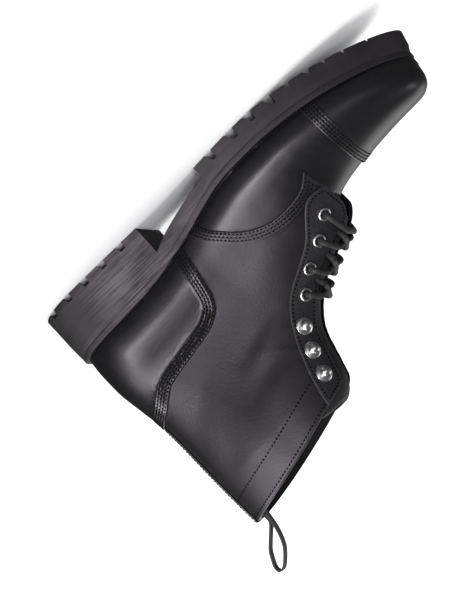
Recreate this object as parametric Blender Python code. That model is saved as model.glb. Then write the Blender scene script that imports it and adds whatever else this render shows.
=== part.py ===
"""Lace-up work boot, left foot, in leather on a lugged rubber sole.

Frame: metres, +Z up, the floor at z = 0. +X runs from the heel to the toe and
+Y to the boot's left, which is the outer (lateral) side of a left foot. Shapes
are worked out in stations, with X counted from the rearmost point of the heel.
The finished pieces are then moved back, so that the origin is in the middle of
the heel's flat underside.

The upper is one hollow shell. Its sections fan from upright planes at the toe,
round the heel, to level planes in the shaft. Each overlay is cut between two
larger forms from the same sections.
"""
import math
from collections import namedtuple

import bmesh
import bpy
import numpy as np

# ---------------------------------------------------------------- driving sizes
SOLE_LENGTH = 0.308         # heel to toe, outside of the sole
GAP = 0.0003                # clearance between neighbouring pieces
UPPER_WALL = 0.0020         # lining and leather together
PANEL_THICKNESS = 0.0011    # quarters, toe cap
COVER_THICKNESS = 0.0012    # eyestays, counter, backstay
PANEL_LEVEL = GAP           # inner face of the panels, over the upper
COVER_LEVEL = PANEL_LEVEL + PANEL_THICKNESS + 0.0006    # inner face of the covers, over the panels
HEEL_SPLIT = 0.0220         # height where the heel block meets the outsole
BREAST_X = 0.0933           # front face of the heel block
LUG_REAR_X = 0.1503         # rear face of the first forefoot lug
TREAD_ROLL_X = 0.175        # where the tread leaves the floor
TREAD_ROLL = 1.24           # rise of the tread toward the toe, per metre
BACK_X = 0.0052             # rear end of the upper's lower edge
TOE_X = 0.3012              # front end of the upper's lower edge
ORIGIN_STATION = 0.0450     # the station that becomes X = 0

LATERAL, MEDIAL = 1, -1


def curve(rows):
    """A smooth function through (position, value) rows that never overshoots."""
    xs = np.array([row[0] for row in rows], float)
    ys = np.array([row[1] for row in rows], float)
    steps = np.diff(xs)
    slopes = np.diff(ys) / steps
    tangents = np.zeros_like(ys)
    tangents[0], tangents[-1] = slopes[0], slopes[-1]
    for i in range(1, len(xs) - 1):
        if slopes[i - 1] * slopes[i] > 0:
            before = 2 * steps[i] + steps[i - 1]
            after = steps[i] + 2 * steps[i - 1]
            tangents[i] = (before + after) / (before / slopes[i - 1] + after / slopes[i])

    def value(x):
        x = min(max(x, xs[0]), xs[-1])
        i = min(int(np.searchsorted(xs, x, side="right")) - 1, len(xs) - 2)
        t = (x - xs[i]) / steps[i]
        return float(ys[i] * (1 + 2 * t) * (1 - t) ** 2 + tangents[i] * steps[i] * t * (1 - t) ** 2
                     + ys[i + 1] * t * t * (3 - 2 * t) + tangents[i + 1] * steps[i] * t * t * (t - 1))
    return value


# ---------------------------------------------------------------- the last's plan
# Half widths of the sole either side of its centre line, before its ends are rounded.
SoleWidth = namedtuple("SoleWidth", "x lateral medial")
SOLE_WIDTHS = [
    SoleWidth(0.000, 0.0362, 0.0358),
    SoleWidth(0.050, 0.0366, 0.0358),
    SoleWidth(0.088, 0.0358, 0.0340),
    SoleWidth(0.112, 0.0358, 0.0315),
    SoleWidth(0.135, 0.0398, 0.0335),
    SoleWidth(0.160, 0.0470, 0.0410),
    SoleWidth(0.185, 0.0520, 0.0490),
    SoleWidth(0.208, 0.0535, 0.0533),
    SoleWidth(0.232, 0.0525, 0.0530),
    SoleWidth(0.262, 0.0500, 0.0500),
    SoleWidth(0.308, 0.0470, 0.0480),
]
sole_half = {
    LATERAL: curve([(row.x, row.lateral) for row in SOLE_WIDTHS]),
    MEDIAL: curve([(row.x, row.medial) for row in SOLE_WIDTHS]),
}
centre_line = curve([(0.0, 0.0), (0.15, 0.0), (0.22, -0.0008), (0.27, -0.0028), (0.308, -0.0055)])

# Top face of the sole, from the heel to the toe.
sole_top = curve([
    (0.000, 0.0392), (0.030, 0.0385), (0.057, 0.0374), (0.075, 0.0360), (0.092, 0.0332),
    (0.106, 0.0301), (0.119, 0.0270), (0.143, 0.0212), (0.154, 0.0194), (0.170, 0.0186),
    (0.190, 0.0188), (0.210, 0.0202), (0.233, 0.0230), (0.258, 0.0278), (0.280, 0.0330),
    (0.294, 0.0375), (0.308, 0.0430)])

HEEL_RADIUS = 0.0360
HEEL_POWER = 2.25
TOE_START = 0.232
TOE_POWER = {LATERAL: 2.05, MEDIAL: 2.45}


def rounded(position, power):
    """Half width left at a position that runs from 0 to 1 toward a round end."""
    return max(0.0, 1 - min(max(position, 0.0), 1.0) ** power) ** (1 / power)


def toe_round(x, end, side):
    return rounded((x - TOE_START) / (end - TOE_START), TOE_POWER[side])


def sole_y(x, side):
    """Y of the sole's outline on one side."""
    heel = rounded((HEEL_RADIUS - x) / HEEL_RADIUS, HEEL_POWER)
    return centre_line(x) + side * sole_half[side](x) * heel * toe_round(x, SOLE_LENGTH, side)


def sole_place(x, side, inset, toe_inset):
    """X and Y of the outline after it shrinks by inset, and by toe_inset at the toe's end."""
    y = sole_y(x, side)
    away = (y - centre_line(x)) * (1 - inset / sole_half[side](x))
    moved = x + inset * max(0.0, 1 - x / HEEL_RADIUS)
    moved -= toe_inset * max(0.0, (x - TOE_START) / (SOLE_LENGTH - TOE_START))
    return moved, centre_line(x) + away


def tread(x):
    """Height of the tread's ground face: flat under the ball, rising to the toe."""
    return TREAD_ROLL * max(0.0, x - TREAD_ROLL_X) ** 2


# ---------------------------------------------------------------- the upper's sections
# top_x, top_z: the section's highest or foremost point, on the centre plane.
# bottom: where it meets the lower edge, as an X from the toe to BACK_X, and then
#         as a length up the back line, counted on below BACK_X.
# crown:  how far below the top the section is widest.
# power:  roundness of the crown; arch: how far the line to the back bows up.
Section = namedtuple("Section", "top_x top_z bottom crown power arch")
SECTIONS = [
    Section(0.3008, 0.0468, 0.3008, 0.0030, 2.1, 0.0),
    Section(0.2994, 0.0545, 0.2975, 0.0090, 2.2, 0.0),
    Section(0.2955, 0.0605, 0.2920, 0.0145, 2.3, 0.0),
    Section(0.2870, 0.0640, 0.2840, 0.0190, 2.4, 0.0),
    Section(0.2690, 0.0645, 0.2670, 0.0225, 2.45, 0.0),
    Section(0.2480, 0.0660, 0.2465, 0.0260, 2.4, 0.0),
    Section(0.2260, 0.0694, 0.2250, 0.0300, 2.25, 0.0),
    Section(0.2045, 0.0755, 0.2030, 0.0350, 2.1, 0.0),
    Section(0.1950, 0.0890, 0.1870, 0.0430, 2.0, 0.0),
    Section(0.1788, 0.0998, 0.1650, 0.0460, 2.0, 0.0),
    Section(0.1578, 0.1108, 0.1370, 0.0480, 2.0, 0.0),
    Section(0.1436, 0.1234, 0.1050, 0.0500, 2.0, 0.0),
    Section(0.1376, 0.1325, 0.0660, 0.0510, 2.0, 0.0),
    Section(0.1354, 0.1388, 0.0320, 0.0520, 2.0, 0.0),
    Section(0.1343, 0.1425, 0.0130, 0.0520, 2.0, 0.0),
    Section(0.1336, 0.1458, 0.0052, 0.0520, 2.0, 0.0),
    Section(0.1329, 0.1495, -0.0230, 0.0520, 2.0, 0.0),
    Section(0.1321, 0.1534, -0.0560, 0.0510, 2.0, 0.0003),
    Section(0.1310, 0.1573, -0.0890, 0.0500, 2.0, 0.0011),
    Section(0.1298, 0.1612, -0.1210, 0.0490, 2.0, 0.0024),
    Section(0.1282, 0.1650, -0.1510, 0.0480, 2.0, 0.0042),
]
section_value = {name: curve([(i, getattr(row, name)) for i, row in enumerate(SECTIONS)])
                 for name in Section._fields}
THROAT_SECTION = 7          # the vamp's upper edge, where the facings part
ARCH_SHARE = {LATERAL: 1.0, MEDIAL: 0.3}    # the collar dips a little on its inner side

# X of the back line above the heel seat.
back_line = curve([
    (0.038, 0.0052), (0.052, 0.0044), (0.067, 0.0047), (0.085, 0.0074), (0.105, 0.0107),
    (0.124, 0.0120), (0.155, 0.0128), (0.179, 0.0138), (0.200, 0.0152)])
# Half width of the leg part, and how far forward its rounded back reaches.
shaft_half = curve([
    (0.040, 0.0335), (0.060, 0.0340), (0.080, 0.0345), (0.100, 0.0352), (0.120, 0.0365),
    (0.150, 0.0382), (0.175, 0.0386), (0.200, 0.0384)])
back_reach = curve([(0.040, 0.034), (0.080, 0.038), (0.120, 0.046), (0.160, 0.055), (0.200, 0.060)])
BACK_POWER = 2.15
UPPER_MARGIN = 0.0012       # the upper's widest line stands this far inside the sole's edge
TUCK = 0.0036               # how far the lower edge turns in under that line
TUCK_HEIGHT = 0.015
SHAFT_BLEND = (0.030, 0.105)   # heights between which the foot's width becomes the leg's

GAP_HALF_LOW = 0.0120       # half of the throat's opening at its lower end
GAP_HALF_RISE = 0.092       # how fast it opens with height
GAP_HALF_BASE = 0.089


def throat_half(z):
    """Half of the opening between the two facings at a height."""
    return GAP_HALF_LOW + GAP_HALF_RISE * max(0.0, z - GAP_HALF_BASE)


def side_width(x, z, side):
    """Half width of the upper at a place in the side view, before the crown rounds it."""
    foot = (sole_half[side](x) - UPPER_MARGIN) * toe_round(x, TOE_X, side)
    t = min(max((z - SHAFT_BLEND[0]) / (SHAFT_BLEND[1] - SHAFT_BLEND[0]), 0.0), 1.0)
    blend = t * t * (3 - 2 * t)
    width = foot * (1 - blend) + shaft_half(z) * blend
    reach = back_reach(z)
    width *= rounded((back_line(z) + reach - x) / reach, BACK_POWER)
    above = min(max((z - sole_top(x) - GAP) / TUCK_HEIGHT, 0.0), 1.0)
    tuck = TUCK * (1 - math.sqrt(1 - (1 - above) ** 2))
    return width * (1 - tuck / sole_half[side](x))


# The facings stand clear of the vamp at the foot of the throat: (section, rise).
facing_lift = curve([(6, 0.0), (7, 0.0130), (8, 0.0056), (9, 0.0012), (10, 0.0)])


def section_line(s):
    """Top and bottom ends of a section's centre line."""
    top = [section_value["top_x"](s), section_value["top_z"](s)]
    bottom = section_value["bottom"](s)
    if bottom >= BACK_X:
        return top, [bottom, sole_top(bottom) + GAP]
    z = sole_top(BACK_X) + GAP + BACK_X - bottom
    return top, [back_line(z), z]


CROWN_COLUMNS = 5           # columns from the centre line to the widest line
SIDE_COLUMNS = 5            # columns from there to the lower edge
FACING_COLUMN = 2           # column that runs along the edge of the facings
COLUMNS = CROWN_COLUMNS + SIDE_COLUMNS


def section_points(s, side, raised=False):
    """Points of half a section, from the centre line to the lower edge or the back."""
    (top_x, top_z), (low_x, low_z) = section_line(s)
    lift = facing_lift(s) if raised else 0.0
    length = math.hypot(top_x - low_x, top_z - low_z)
    crown = min(section_value["crown"](s), 0.75 * length)
    power = section_value["power"](s)
    arch = section_value["arch"](s) * ARCH_SHARE[side]
    slope_x, slope_z = (low_x - top_x) / length, (low_z - top_z) / length

    def place(depth):
        t = depth / length
        return top_x + slope_x * depth, top_z + slope_z * depth + arch * 4 * t * (1 - t)

    def crown_point(angle):
        level = max(0.0, math.cos(angle))
        x, z = place(crown * (1 - level ** (2 / power)))
        y = centre_line(x) + side * side_width(x, z, side) * math.sin(angle) ** (2 / power)
        return x, y, z + lift * level ** 4

    widest = side_width(*place(crown), side)
    facing = math.asin(min(0.6, (throat_half(top_z) / widest) ** (power / 2)))
    angles = [facing * i / FACING_COLUMN for i in range(FACING_COLUMN)]
    rest = CROWN_COLUMNS - FACING_COLUMN
    angles += [facing + (math.pi / 2 - facing) * i / rest for i in range(rest + 1)]
    points = [crown_point(angle) for angle in angles]
    for i in range(1, SIDE_COLUMNS + 1):
        depth = crown + (length - crown) * math.sin(math.pi / 2 * i / SIDE_COLUMNS)
        x, z = place(depth)
        closed = i == SIDE_COLUMNS and section_value["bottom"](s) <= BACK_X
        width = 0.0 if closed else side_width(x, z, side)
        points.append((x, centre_line(x) + side * width, z))
    return points


STATIONS = [0, 0.6, 1.2, 2, 3, 4, 5, 6, 7, 7.35, 7.7, 8, 9, 10, 11, 12, 13, 13.6, 14, 14.45,
            14.8, 15, 15.4, 16, 17, 18, 19, 20]
HEEL_CORNER = STATIONS.index(15)    # from here on, both halves meet on the back line
THROAT_ROW = STATIONS.index(THROAT_SECTION)


def form_grid(raised=False):
    """All sections as rows of points, from the medial lower edge over to the lateral one."""
    rows = []
    for s in STATIONS:
        medial = section_points(s, MEDIAL, raised)
        lateral = section_points(s, LATERAL, raised)
        rows.append(medial[:0:-1] + lateral)
    return np.array(rows)


def grid_normals(grid):
    """Outward normals of a grid of sections."""
    rows, columns = grid.shape[:2]
    along = np.gradient(grid, axis=0)
    across = np.gradient(grid, axis=1)
    for i in range(HEEL_CORNER, rows):
        across[i, 0] = across[i, -1] = (grid[i, 1] - grid[i, -2]) / 2
    normals = np.cross(across, along)
    normals /= np.maximum(np.linalg.norm(normals, axis=2, keepdims=True), 1e-9)
    if normals[rows // 2, columns // 2, 2] < 0:
        normals = -normals
    normals[0] += (0.6, 0.0, 0.0)
    for i in range(HEEL_CORNER + 1):        # the lower edge moves out level, on the sole's face
        for j in (0, -1):
            normals[i, j, 2] = 0.0
    for i in range(HEEL_CORNER, rows):
        normals[i, 0] = normals[i, -1] = (-1.0, 0.0, 0.0)
    normals /= np.maximum(np.linalg.norm(normals, axis=2, keepdims=True), 1e-9)
    return normals


# The tables above give the boot's outside, so the upper itself lies under its panels' thickness.
FORMS = {}
for lifted in (False, True):
    outside = form_grid(lifted)
    outward = grid_normals(outside)
    FORMS[lifted] = (outside - outward * (PANEL_LEVEL + PANEL_THICKNESS), outward)


def form(offset, raised=False):
    """The upper's form, moved out by offset."""
    base, normals = FORMS[raised]
    return base + normals * offset


# ---------------------------------------------------------------- Blender helpers
def clear_scene():
    for item in list(bpy.data.objects):
        bpy.data.objects.remove(item, do_unlink=True)


def material(name, colour, roughness, metallic=0.0):
    made = bpy.data.materials.new(name)
    made.use_nodes = True
    shader = made.node_tree.nodes["Principled BSDF"]
    shader.inputs["Base Color"].default_value = (*colour, 1.0)
    shader.inputs["Roughness"].default_value = roughness
    shader.inputs["Metallic"].default_value = metallic
    return made


def add_mesh(name, vertices, faces, finish=None, smooth=False):
    """A mesh object from points and faces, merged and with its faces turned out."""
    mesh = bpy.data.meshes.new(name)
    work = bmesh.new()
    made = [work.verts.new(tuple(map(float, point))) for point in vertices]
    for face in faces:
        corners = []
        for index in face:
            if made[index] not in corners:
                corners.append(made[index])
        if len(corners) > 2:
            work.faces.new(corners)
    bmesh.ops.remove_doubles(work, verts=work.verts, dist=0.00002)
    bmesh.ops.dissolve_degenerate(work, edges=work.edges, dist=0.00001)
    bmesh.ops.recalc_face_normals(work, faces=work.faces)
    work.to_mesh(mesh)
    work.free()
    item = bpy.data.objects.new(name, mesh)
    bpy.context.scene.collection.objects.link(item)
    if finish:
        mesh.materials.append(finish)
    if smooth:
        mesh.shade_smooth()
        mesh.set_sharp_from_angle(angle=math.radians(40))
    return item


def apply_modifiers(item):
    """Bakes an object's modifiers into its mesh."""
    graph = bpy.context.evaluated_depsgraph_get()
    mesh = bpy.data.meshes.new_from_object(item.evaluated_get(graph))
    item.modifiers.clear()
    item.data = mesh


def combine(item, other, operation):
    """One exact boolean of another solid on item; the other is then removed."""
    modifier = item.modifiers.new(operation.title(), "BOOLEAN")
    modifier.operation = operation
    modifier.object = other
    modifier.solver = "EXACT"
    apply_modifiers(item)
    bpy.data.objects.remove(other, do_unlink=True)
    return item


def cut(item, cutter):
    return combine(item, cutter, "DIFFERENCE")


def keep_inside(item, cutter):
    return combine(item, cutter, "INTERSECT")


def prism(name, outline, y_low, y_high):
    """A block with a side-view outline; y_low and y_high are values or functions of height."""
    low = [y_low(z) if callable(y_low) else y_low for _, z in outline]
    high = [y_high(z) if callable(y_high) else y_high for _, z in outline]
    count = len(outline)
    vertices = [(x, y, z) for (x, z), y in zip(outline, low)]
    vertices += [(x, y, z) for (x, z), y in zip(outline, high)]
    faces = [tuple(range(count)), tuple(range(2 * count - 1, count - 1, -1))]
    faces += [(i, (i + 1) % count, count + (i + 1) % count, count + i) for i in range(count)]
    return add_mesh(name, vertices, faces)


def split_quad(faces, a, b, c, d):
    """Adds a four-sided patch as two triangles, always along the same diagonal."""
    faces.append((a, b, c))
    faces.append((a, c, d))


# ---------------------------------------------------------------- laddered solids
def ladder_stations(start, end, arc, breaks=()):
    """X positions of an outline: close together at its round ends, even between them."""
    heel = [start + arc * (1 - math.cos(math.radians(a))) for a in (7, 17, 28, 40, 53, 66, 78)]
    toe_arc = end - TOE_START
    toe = [TOE_START + toe_arc * math.sin(math.radians(a)) for a in (12, 24, 36, 48, 60, 70, 78, 84.5)]
    low, high = start + arc, TOE_START
    count = 12
    middle = [low + (high - low) * i / count for i in range(count + 1)]
    middle = [x for x in middle if all(abs(x - b) > 0.003 for b in breaks)]
    return sorted(heel + middle + toe + list(breaks))


def ladder_solid(name, stations, layers, finish):
    """A solid with a level rung at each station; a layer gives a point from (x, side)."""
    vertices, faces = [], []
    for layer in layers:
        for x in stations:
            for side in (LATERAL, MEDIAL):
                vertices.append(layer(x, side))
    count = len(stations)
    for layer in (0, len(layers) - 1):
        start = layer * count * 2
        for k in range(count - 1):
            a = start + 2 * k
            faces.append((a, a + 1, a + 3, a + 2))
    for layer in range(len(layers) - 1):
        low, high = layer * count * 2, (layer + 1) * count * 2
        for k in range(count - 1):
            for side in (0, 1):
                a = 2 * k + side
                faces.append((low + a, low + a + 2, high + a + 2, high + a))
        for a in (0, 2 * (count - 1)):
            faces.append((low + a, low + a + 1, high + a + 1, high + a))
    return add_mesh(name, vertices, faces, finish, smooth=True)


def sole_stations():
    """X positions of the sole's rungs, with a pair at each step in its underside."""
    breaks = (BREAST_X, BREAST_X + 0.0006, LUG_REAR_X - 0.0007, LUG_REAR_X)
    return ladder_stations(0.0, SOLE_LENGTH, HEEL_RADIUS, breaks)


def trim_to_seat(item):
    """Cuts a piece of the upper along the sole's top face."""
    margin = -0.02

    def seat_layer(x, side):
        moved, y = sole_place(x, side, margin, margin)
        return moved, y, sole_top(moved) + GAP

    def low_layer(x, side):
        return (*sole_place(x, side, margin, margin), margin)

    cutter = ladder_solid("seat", sole_stations(), [low_layer, seat_layer], None)
    cut(item, cutter)
    tidy(item)
    return item


# ---------------------------------------------------------------- forms as solids
def solid_form(name, offset, raised=False, skirt=0.0):
    """The closed form at an offset; skirt lengthens it past its lower and upper edges."""
    grid = form(offset, raised)
    rows, columns = grid.shape[:2]
    vertices = [tuple(point) for row in grid for point in row]
    faces = []
    for i in range(rows - 1):
        for j in range(columns - 1):
            a, b = i * columns + j, i * columns + j + 1
            split_quad(faces, a, b, b + columns, a + columns)
    # nose: the first section is closed across
    for j in range(columns // 2):
        faces.append((j, j + 1, columns - 2 - j, columns - 1 - j))
    # underside
    low = len(vertices)
    for i in range(HEEL_CORNER + 1):
        for j in (0, columns - 1):
            x, y, z = grid[i, j]
            vertices.append((x, y, z - skirt) if skirt else (x, y, z))
    for i in range(HEEL_CORNER):
        a = low + 2 * i
        faces.append((a, a + 1, a + 3, a + 2))
        if skirt:
            for side, column in ((0, 0), (1, columns - 1)):
                faces.append((i * columns + column, (i + 1) * columns + column, a + 2 + side, a + side))
    if skirt:
        faces.append((0, columns - 1, low + 1, low))
    # collar end
    last = (rows - 1) * columns
    top = last
    if skirt:
        top = len(vertices)
        vertices += [(x, y, z + skirt) for x, y, z in grid[-1]]
        for j in range(columns - 1):
            faces.append((last + j, last + j + 1, top + j + 1, top + j))
    for j in range(columns // 2):
        faces.append((top + j, top + j + 1, top + columns - 2 - j, top + columns - 1 - j))
    return add_mesh(name, vertices, faces)


def overlay(name, finish, inner, thickness, block, raised=False):
    """A panel between two forms, inside a block."""
    shell = solid_form(name, inner + thickness, raised)
    cut(shell, solid_form(name + "_inside", inner, raised, skirt=0.02))
    keep_inside(shell, block)
    if min(vertex.co.z for vertex in shell.data.vertices) < 0.045:
        trim_to_seat(shell)
    tidy(shell)
    shell.name = name
    shell.data.name = name
    shell.data.materials.clear()
    shell.data.materials.append(finish)
    return shell


def tidy(item, distance=0.00003):
    """Merges points that an exact cut leaves almost on each other."""
    work = bmesh.new()
    work.from_mesh(item.data)
    bmesh.ops.remove_doubles(work, verts=work.verts, dist=distance)
    bmesh.ops.dissolve_degenerate(work, edges=work.edges, dist=0.00001)
    work.to_mesh(item.data)
    work.free()


# ---------------------------------------------------------------- upper
def build_upper(finish):
    """One hollow shell, open at the collar, down the throat and underneath."""
    outer, inner = form(0.0), form(-UPPER_WALL)
    rows, columns = outer.shape[:2]
    middle = columns // 2
    inner[-1, :, 2] = outer[-1, :, 2]       # the collar's rim is level across the wall
    vertices = [tuple(point) for row in outer for point in row]
    vertices += [tuple(point) for row in inner for point in row]
    shift = rows * columns

    def is_open(i, j):
        return i >= THROAT_ROW and middle - FACING_COLUMN <= j < middle + FACING_COLUMN

    faces, edges = [], {}
    for i in range(rows - 1):
        for j in range(columns - 1):
            if is_open(i, j):
                continue
            a, b = i * columns + j, i * columns + j + 1
            c, d = b + columns, a + columns
            split_quad(faces, a, b, c, d)
            split_quad(faces, a + shift, b + shift, c + shift, d + shift)
            for edge in ((a, b), (b, c), (c, d), (d, a)):
                if (edge[1], edge[0]) in edges:
                    edges.pop((edge[1], edge[0]))
                else:
                    edges[edge] = True
    for start, end in edges:
        rows_of = (start // columns, end // columns)
        columns_of = {start % columns, end % columns}
        on_back = min(rows_of) >= HEEL_CORNER and columns_of <= {0, columns - 1}
        on_nose = rows_of == (0, 0)
        if not on_back and not on_nose:
            faces.append((start, end, end + shift, start + shift))
    for layer in (0, shift):        # the nose is closed across, inside and out
        for j in range(middle):
            faces.append((layer + j, layer + j + 1, layer + columns - 2 - j, layer + columns - 1 - j))
    faces.append((0, columns - 1, columns - 1 + shift, shift))
    upper = trim_to_seat(add_mesh("upper", vertices, faces, finish, smooth=True))
    upper.data.materials.clear()
    upper.data.materials.append(finish)


# Side-view outlines of the overlays: points (x, z) in order.
QUARTER_SEAM = [(0.2010, 0.0520), (0.1920, 0.0585), (0.1800, 0.0612), (0.1660, 0.0610), (0.1540, 0.0575),
                (0.1440, 0.0515), (0.1350, 0.0425), (0.1270, 0.0330), (0.1190, 0.0150)]
EYESTAY_REAR = [(0.1875, 0.0670), (0.1700, 0.0830), (0.1588, 0.0900), (0.1400, 0.1005), (0.1290, 0.1110),
                (0.1200, 0.1265), (0.1150, 0.1400), (0.1110, 0.1530), (0.1072, 0.1740), (0.1060, 0.2100)]
COUNTER_TOP = [(0.1062, 0.0100), (0.1062, 0.0400), (0.1030, 0.0580), (0.1000, 0.0690), (0.0950, 0.0765),
               (0.0850, 0.0825), (0.0720, 0.0855), (0.0420, 0.0912), (0.0330, 0.0958), (0.0220, 0.1030),
               (0.0050, 0.1085), (-0.0200, 0.1090)]
FACING_FOOT = [(0.2010, 0.0520), (0.2030, 0.0650), (0.2046, 0.0800), (0.2030, 0.0900)]
TOE_CAP_REAR = [(0.2265, 0.0000), (0.2300, 0.0900)]
OUTSIDE_Y = 0.09
FRONT_LIMIT = 0.330
TOP_LIMIT = 0.230
BACKSTAY_HALF = 0.0072
QUARTER_SPLIT_X = 0.0800     # behind this the quarters reach the back seam


def facing_block(name, outline, side):
    """A block on one side of the throat, whose inner face follows the facing's edge."""
    if side == LATERAL:
        return prism(name, outline, throat_half, OUTSIDE_Y)
    return prism(name, outline, -OUTSIDE_Y, lambda z: -throat_half(z))


def quarter_block(side):
    """One quarter: up to the facing's edge in front, and to the centre line behind."""
    front = QUARTER_SEAM + [(QUARTER_SPLIT_X, 0.015), (QUARTER_SPLIT_X, TOP_LIMIT), (0.16, TOP_LIMIT),
                            (0.19, 0.11)] + FACING_FOOT[:0:-1]
    rear = [(QUARTER_SPLIT_X + 0.002, 0.015), (-0.02, 0.015), (-0.02, TOP_LIMIT),
            (QUARTER_SPLIT_X + 0.002, TOP_LIMIT)]
    inner, outer = side * GAP / 2, side * OUTSIDE_Y
    block = facing_block("quarter_front", front, side)
    return combine(block, prism("quarter_rear", rear, min(inner, outer), max(inner, outer)), "UNION")


def build_overlays(finish):
    whole = (-OUTSIDE_Y, OUTSIDE_Y)
    cap_outline = TOE_CAP_REAR + [(FRONT_LIMIT, 0.09), (FRONT_LIMIT, 0.0)]
    overlay("toe_cap", finish["cap"], PANEL_LEVEL, PANEL_THICKNESS, prism("cap_block", cap_outline, *whole))
    eyestay_outline = EYESTAY_REAR + [(0.16, TOP_LIMIT), (0.21, 0.125)] + FACING_FOOT[:0:-1]
    for side, name in ((LATERAL, "lateral"), (MEDIAL, "medial")):
        overlay("quarter_" + name, finish["quarter"], PANEL_LEVEL, PANEL_THICKNESS, quarter_block(side),
                raised=True)
        overlay("eyestay_" + name, finish["eyestay"], COVER_LEVEL, COVER_THICKNESS,
                facing_block("eyestay_block", eyestay_outline, side), raised=True)
    counter_outline = COUNTER_TOP + [(-0.02, 0.01)]
    overlay("counter", finish["counter"], COVER_LEVEL, COVER_THICKNESS,
            prism("counter_block", counter_outline, *whole))
    backstay_outline = [(-0.02, 0.1100), (-0.02, TOP_LIMIT), (0.04, TOP_LIMIT), (0.04, 0.1100)]
    overlay("backstay", finish["counter"], COVER_LEVEL, COVER_THICKNESS,
            prism("backstay_block", backstay_outline, -BACKSTAY_HALF, BACKSTAY_HALF))


# ---------------------------------------------------------------- sole
WAIST_LINE = curve([(BREAST_X, 0.0215), (0.106, 0.0163), (0.125, 0.0116), (0.1497, 0.0075)])
TOE_SLOPE = 0.0052          # how far the toe's front face leans back
WALL_LEAN = 0.0006
RIM_BEVEL = 0.0009


def sole_bottom(x):
    """Lowest face of the outsole: over the heel block, along the waist, then the tread."""
    if x <= BREAST_X:
        return HEEL_SPLIT
    if x < LUG_REAR_X:
        return WAIST_LINE(x)
    return tread(x)


def outsole_layer(fraction, drop=0.0, inset=0.0):
    """A layer of the outsole's side: fraction of its height, less drop."""
    def layer(x, side):
        moved, y = sole_place(x, side, WALL_LEAN * fraction + inset, TOE_SLOPE * fraction + inset)
        low, high = sole_bottom(x), sole_top(moved)
        return moved, y, low + (high - low) * fraction - drop
    return layer


def inward(x, side):
    """A point on the sole's edge and the level direction in from it."""
    step = 0.0005
    y, ahead = sole_y(x, side), sole_y(x + step, side)
    length = math.hypot(step, ahead - y)
    return (x, y), (side * (ahead - y) / length, -side * step / length)


def groove(vertices, faces, centre, direction, length, ground, depth, half, root):
    """Adds one groove cutter.

    half is half of its width at the ground; root gives its low and high side at the
    bottom of the groove, as shares of half.
    """
    dx, dy = direction
    ax, ay = (-dy, dx) if dy < 0 else (dy, -dx)     # across the groove, toward the toe
    base = len(vertices)
    for reach, narrow in ((-CUT_OVERSHOOT, 1.0), (length, GROOVE_TAPER)):
        wide = half * narrow
        for across, z in ((-wide, ground - CUT_BELOW), (wide, ground - CUT_BELOW),
                          (wide * root[1], ground + depth), (wide * root[0], ground + depth)):
            vertices.append((centre[0] + dx * reach + ax * across, centre[1] + dy * reach + ay * across, z))
    faces += [(base, base + 1, base + 2, base + 3), (base + 4, base + 7, base + 6, base + 5)]
    faces += [(base + k, base + 4 + k, base + 4 + (k + 1) % 4, base + (k + 1) % 4) for k in range(4)]


CUT_OVERSHOOT = 0.0060      # how far a cutter sticks out of the side
CUT_BELOW = 0.0020          # and under the ground
GROOVE_TAPER = 0.62         # width of a groove's inner end, as a share of its mouth

# Notches between the lugs along the edge: where each starts and ends at the ground.
Notch = namedtuple("Notch", "rear front depth")
LUG_NOTCHES = [
    Notch(0.1590, 0.1675, 0.0062),
    Notch(0.1775, 0.1880, 0.0064),
    Notch(0.1950, 0.2038, 0.0062),
    Notch(0.2118, 0.2203, 0.0058),
    Notch(0.2285, 0.2350, 0.0040),
    Notch(0.2430, 0.2500, 0.0034),
    Notch(0.2570, 0.2612, 0.0027),
    Notch(0.2705, 0.2740, 0.0022),
    Notch(0.2868, 0.2896, 0.0018),
]
HEEL_NOTCHES = [
    Notch(0.0080, 0.0140, 0.0044),
    Notch(0.0240, 0.0308, 0.0048),
    Notch(0.0395, 0.0466, 0.0050),
    Notch(0.0560, 0.0630, 0.0050),
    Notch(0.0735, 0.0800, 0.0050),
]
NOTCH_ROOT = (0.24, 0.95)   # a notch's rear wall leans far forward, its front wall stands
LUG_LENGTH = 0.0215         # how far the side lugs reach in
LUG_SLANT = math.radians(24)
HEEL_LUG_LENGTH = 0.0175
HEEL_LUG_SLANT = math.radians(10)
CHANNEL_WIDTH = 0.0042
CHANNEL_DEPTH = 0.0050
CHANNEL_START = 0.1463      # rear end of the tread's lengthwise channels
CHANNEL_STEP = 0.0125
HEEL_CHANNEL_START = 0.0220
HEEL_CHANNEL_STEP = 0.0150
HEEL_CHANNEL_INSET = 0.0165
HEEL_CHANNEL_DROP = 0.0014  # the heel's channels are this much shallower
CROSS_START = 0.1643        # first groove across the middle of the tread
CROSS_PITCH = 0.0163
CROSS_HALF_LENGTH = 0.0260
CROSS_DEPTH = 0.0045
CROSS_HALF_WIDTH = 0.0024
CROSS_ROOT = (-0.7, 0.7)


def notch_cutters(side, notches, length, slant, ground):
    """Cutters for the notches of one side, slanted in from the edge."""
    vertices, faces = [], []
    angle = side * slant
    for notch in notches:
        middle = (notch.rear + notch.front) / 2
        place, (nx, ny) = inward(middle, side)
        direction = (nx * math.cos(angle) - ny * math.sin(angle), nx * math.sin(angle) + ny * math.cos(angle))
        groove(vertices, faces, place, direction, length, ground(middle), notch.depth,
               (notch.front - notch.rear) / 2, NOTCH_ROOT)
    return add_mesh("notches", vertices, faces)


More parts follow.
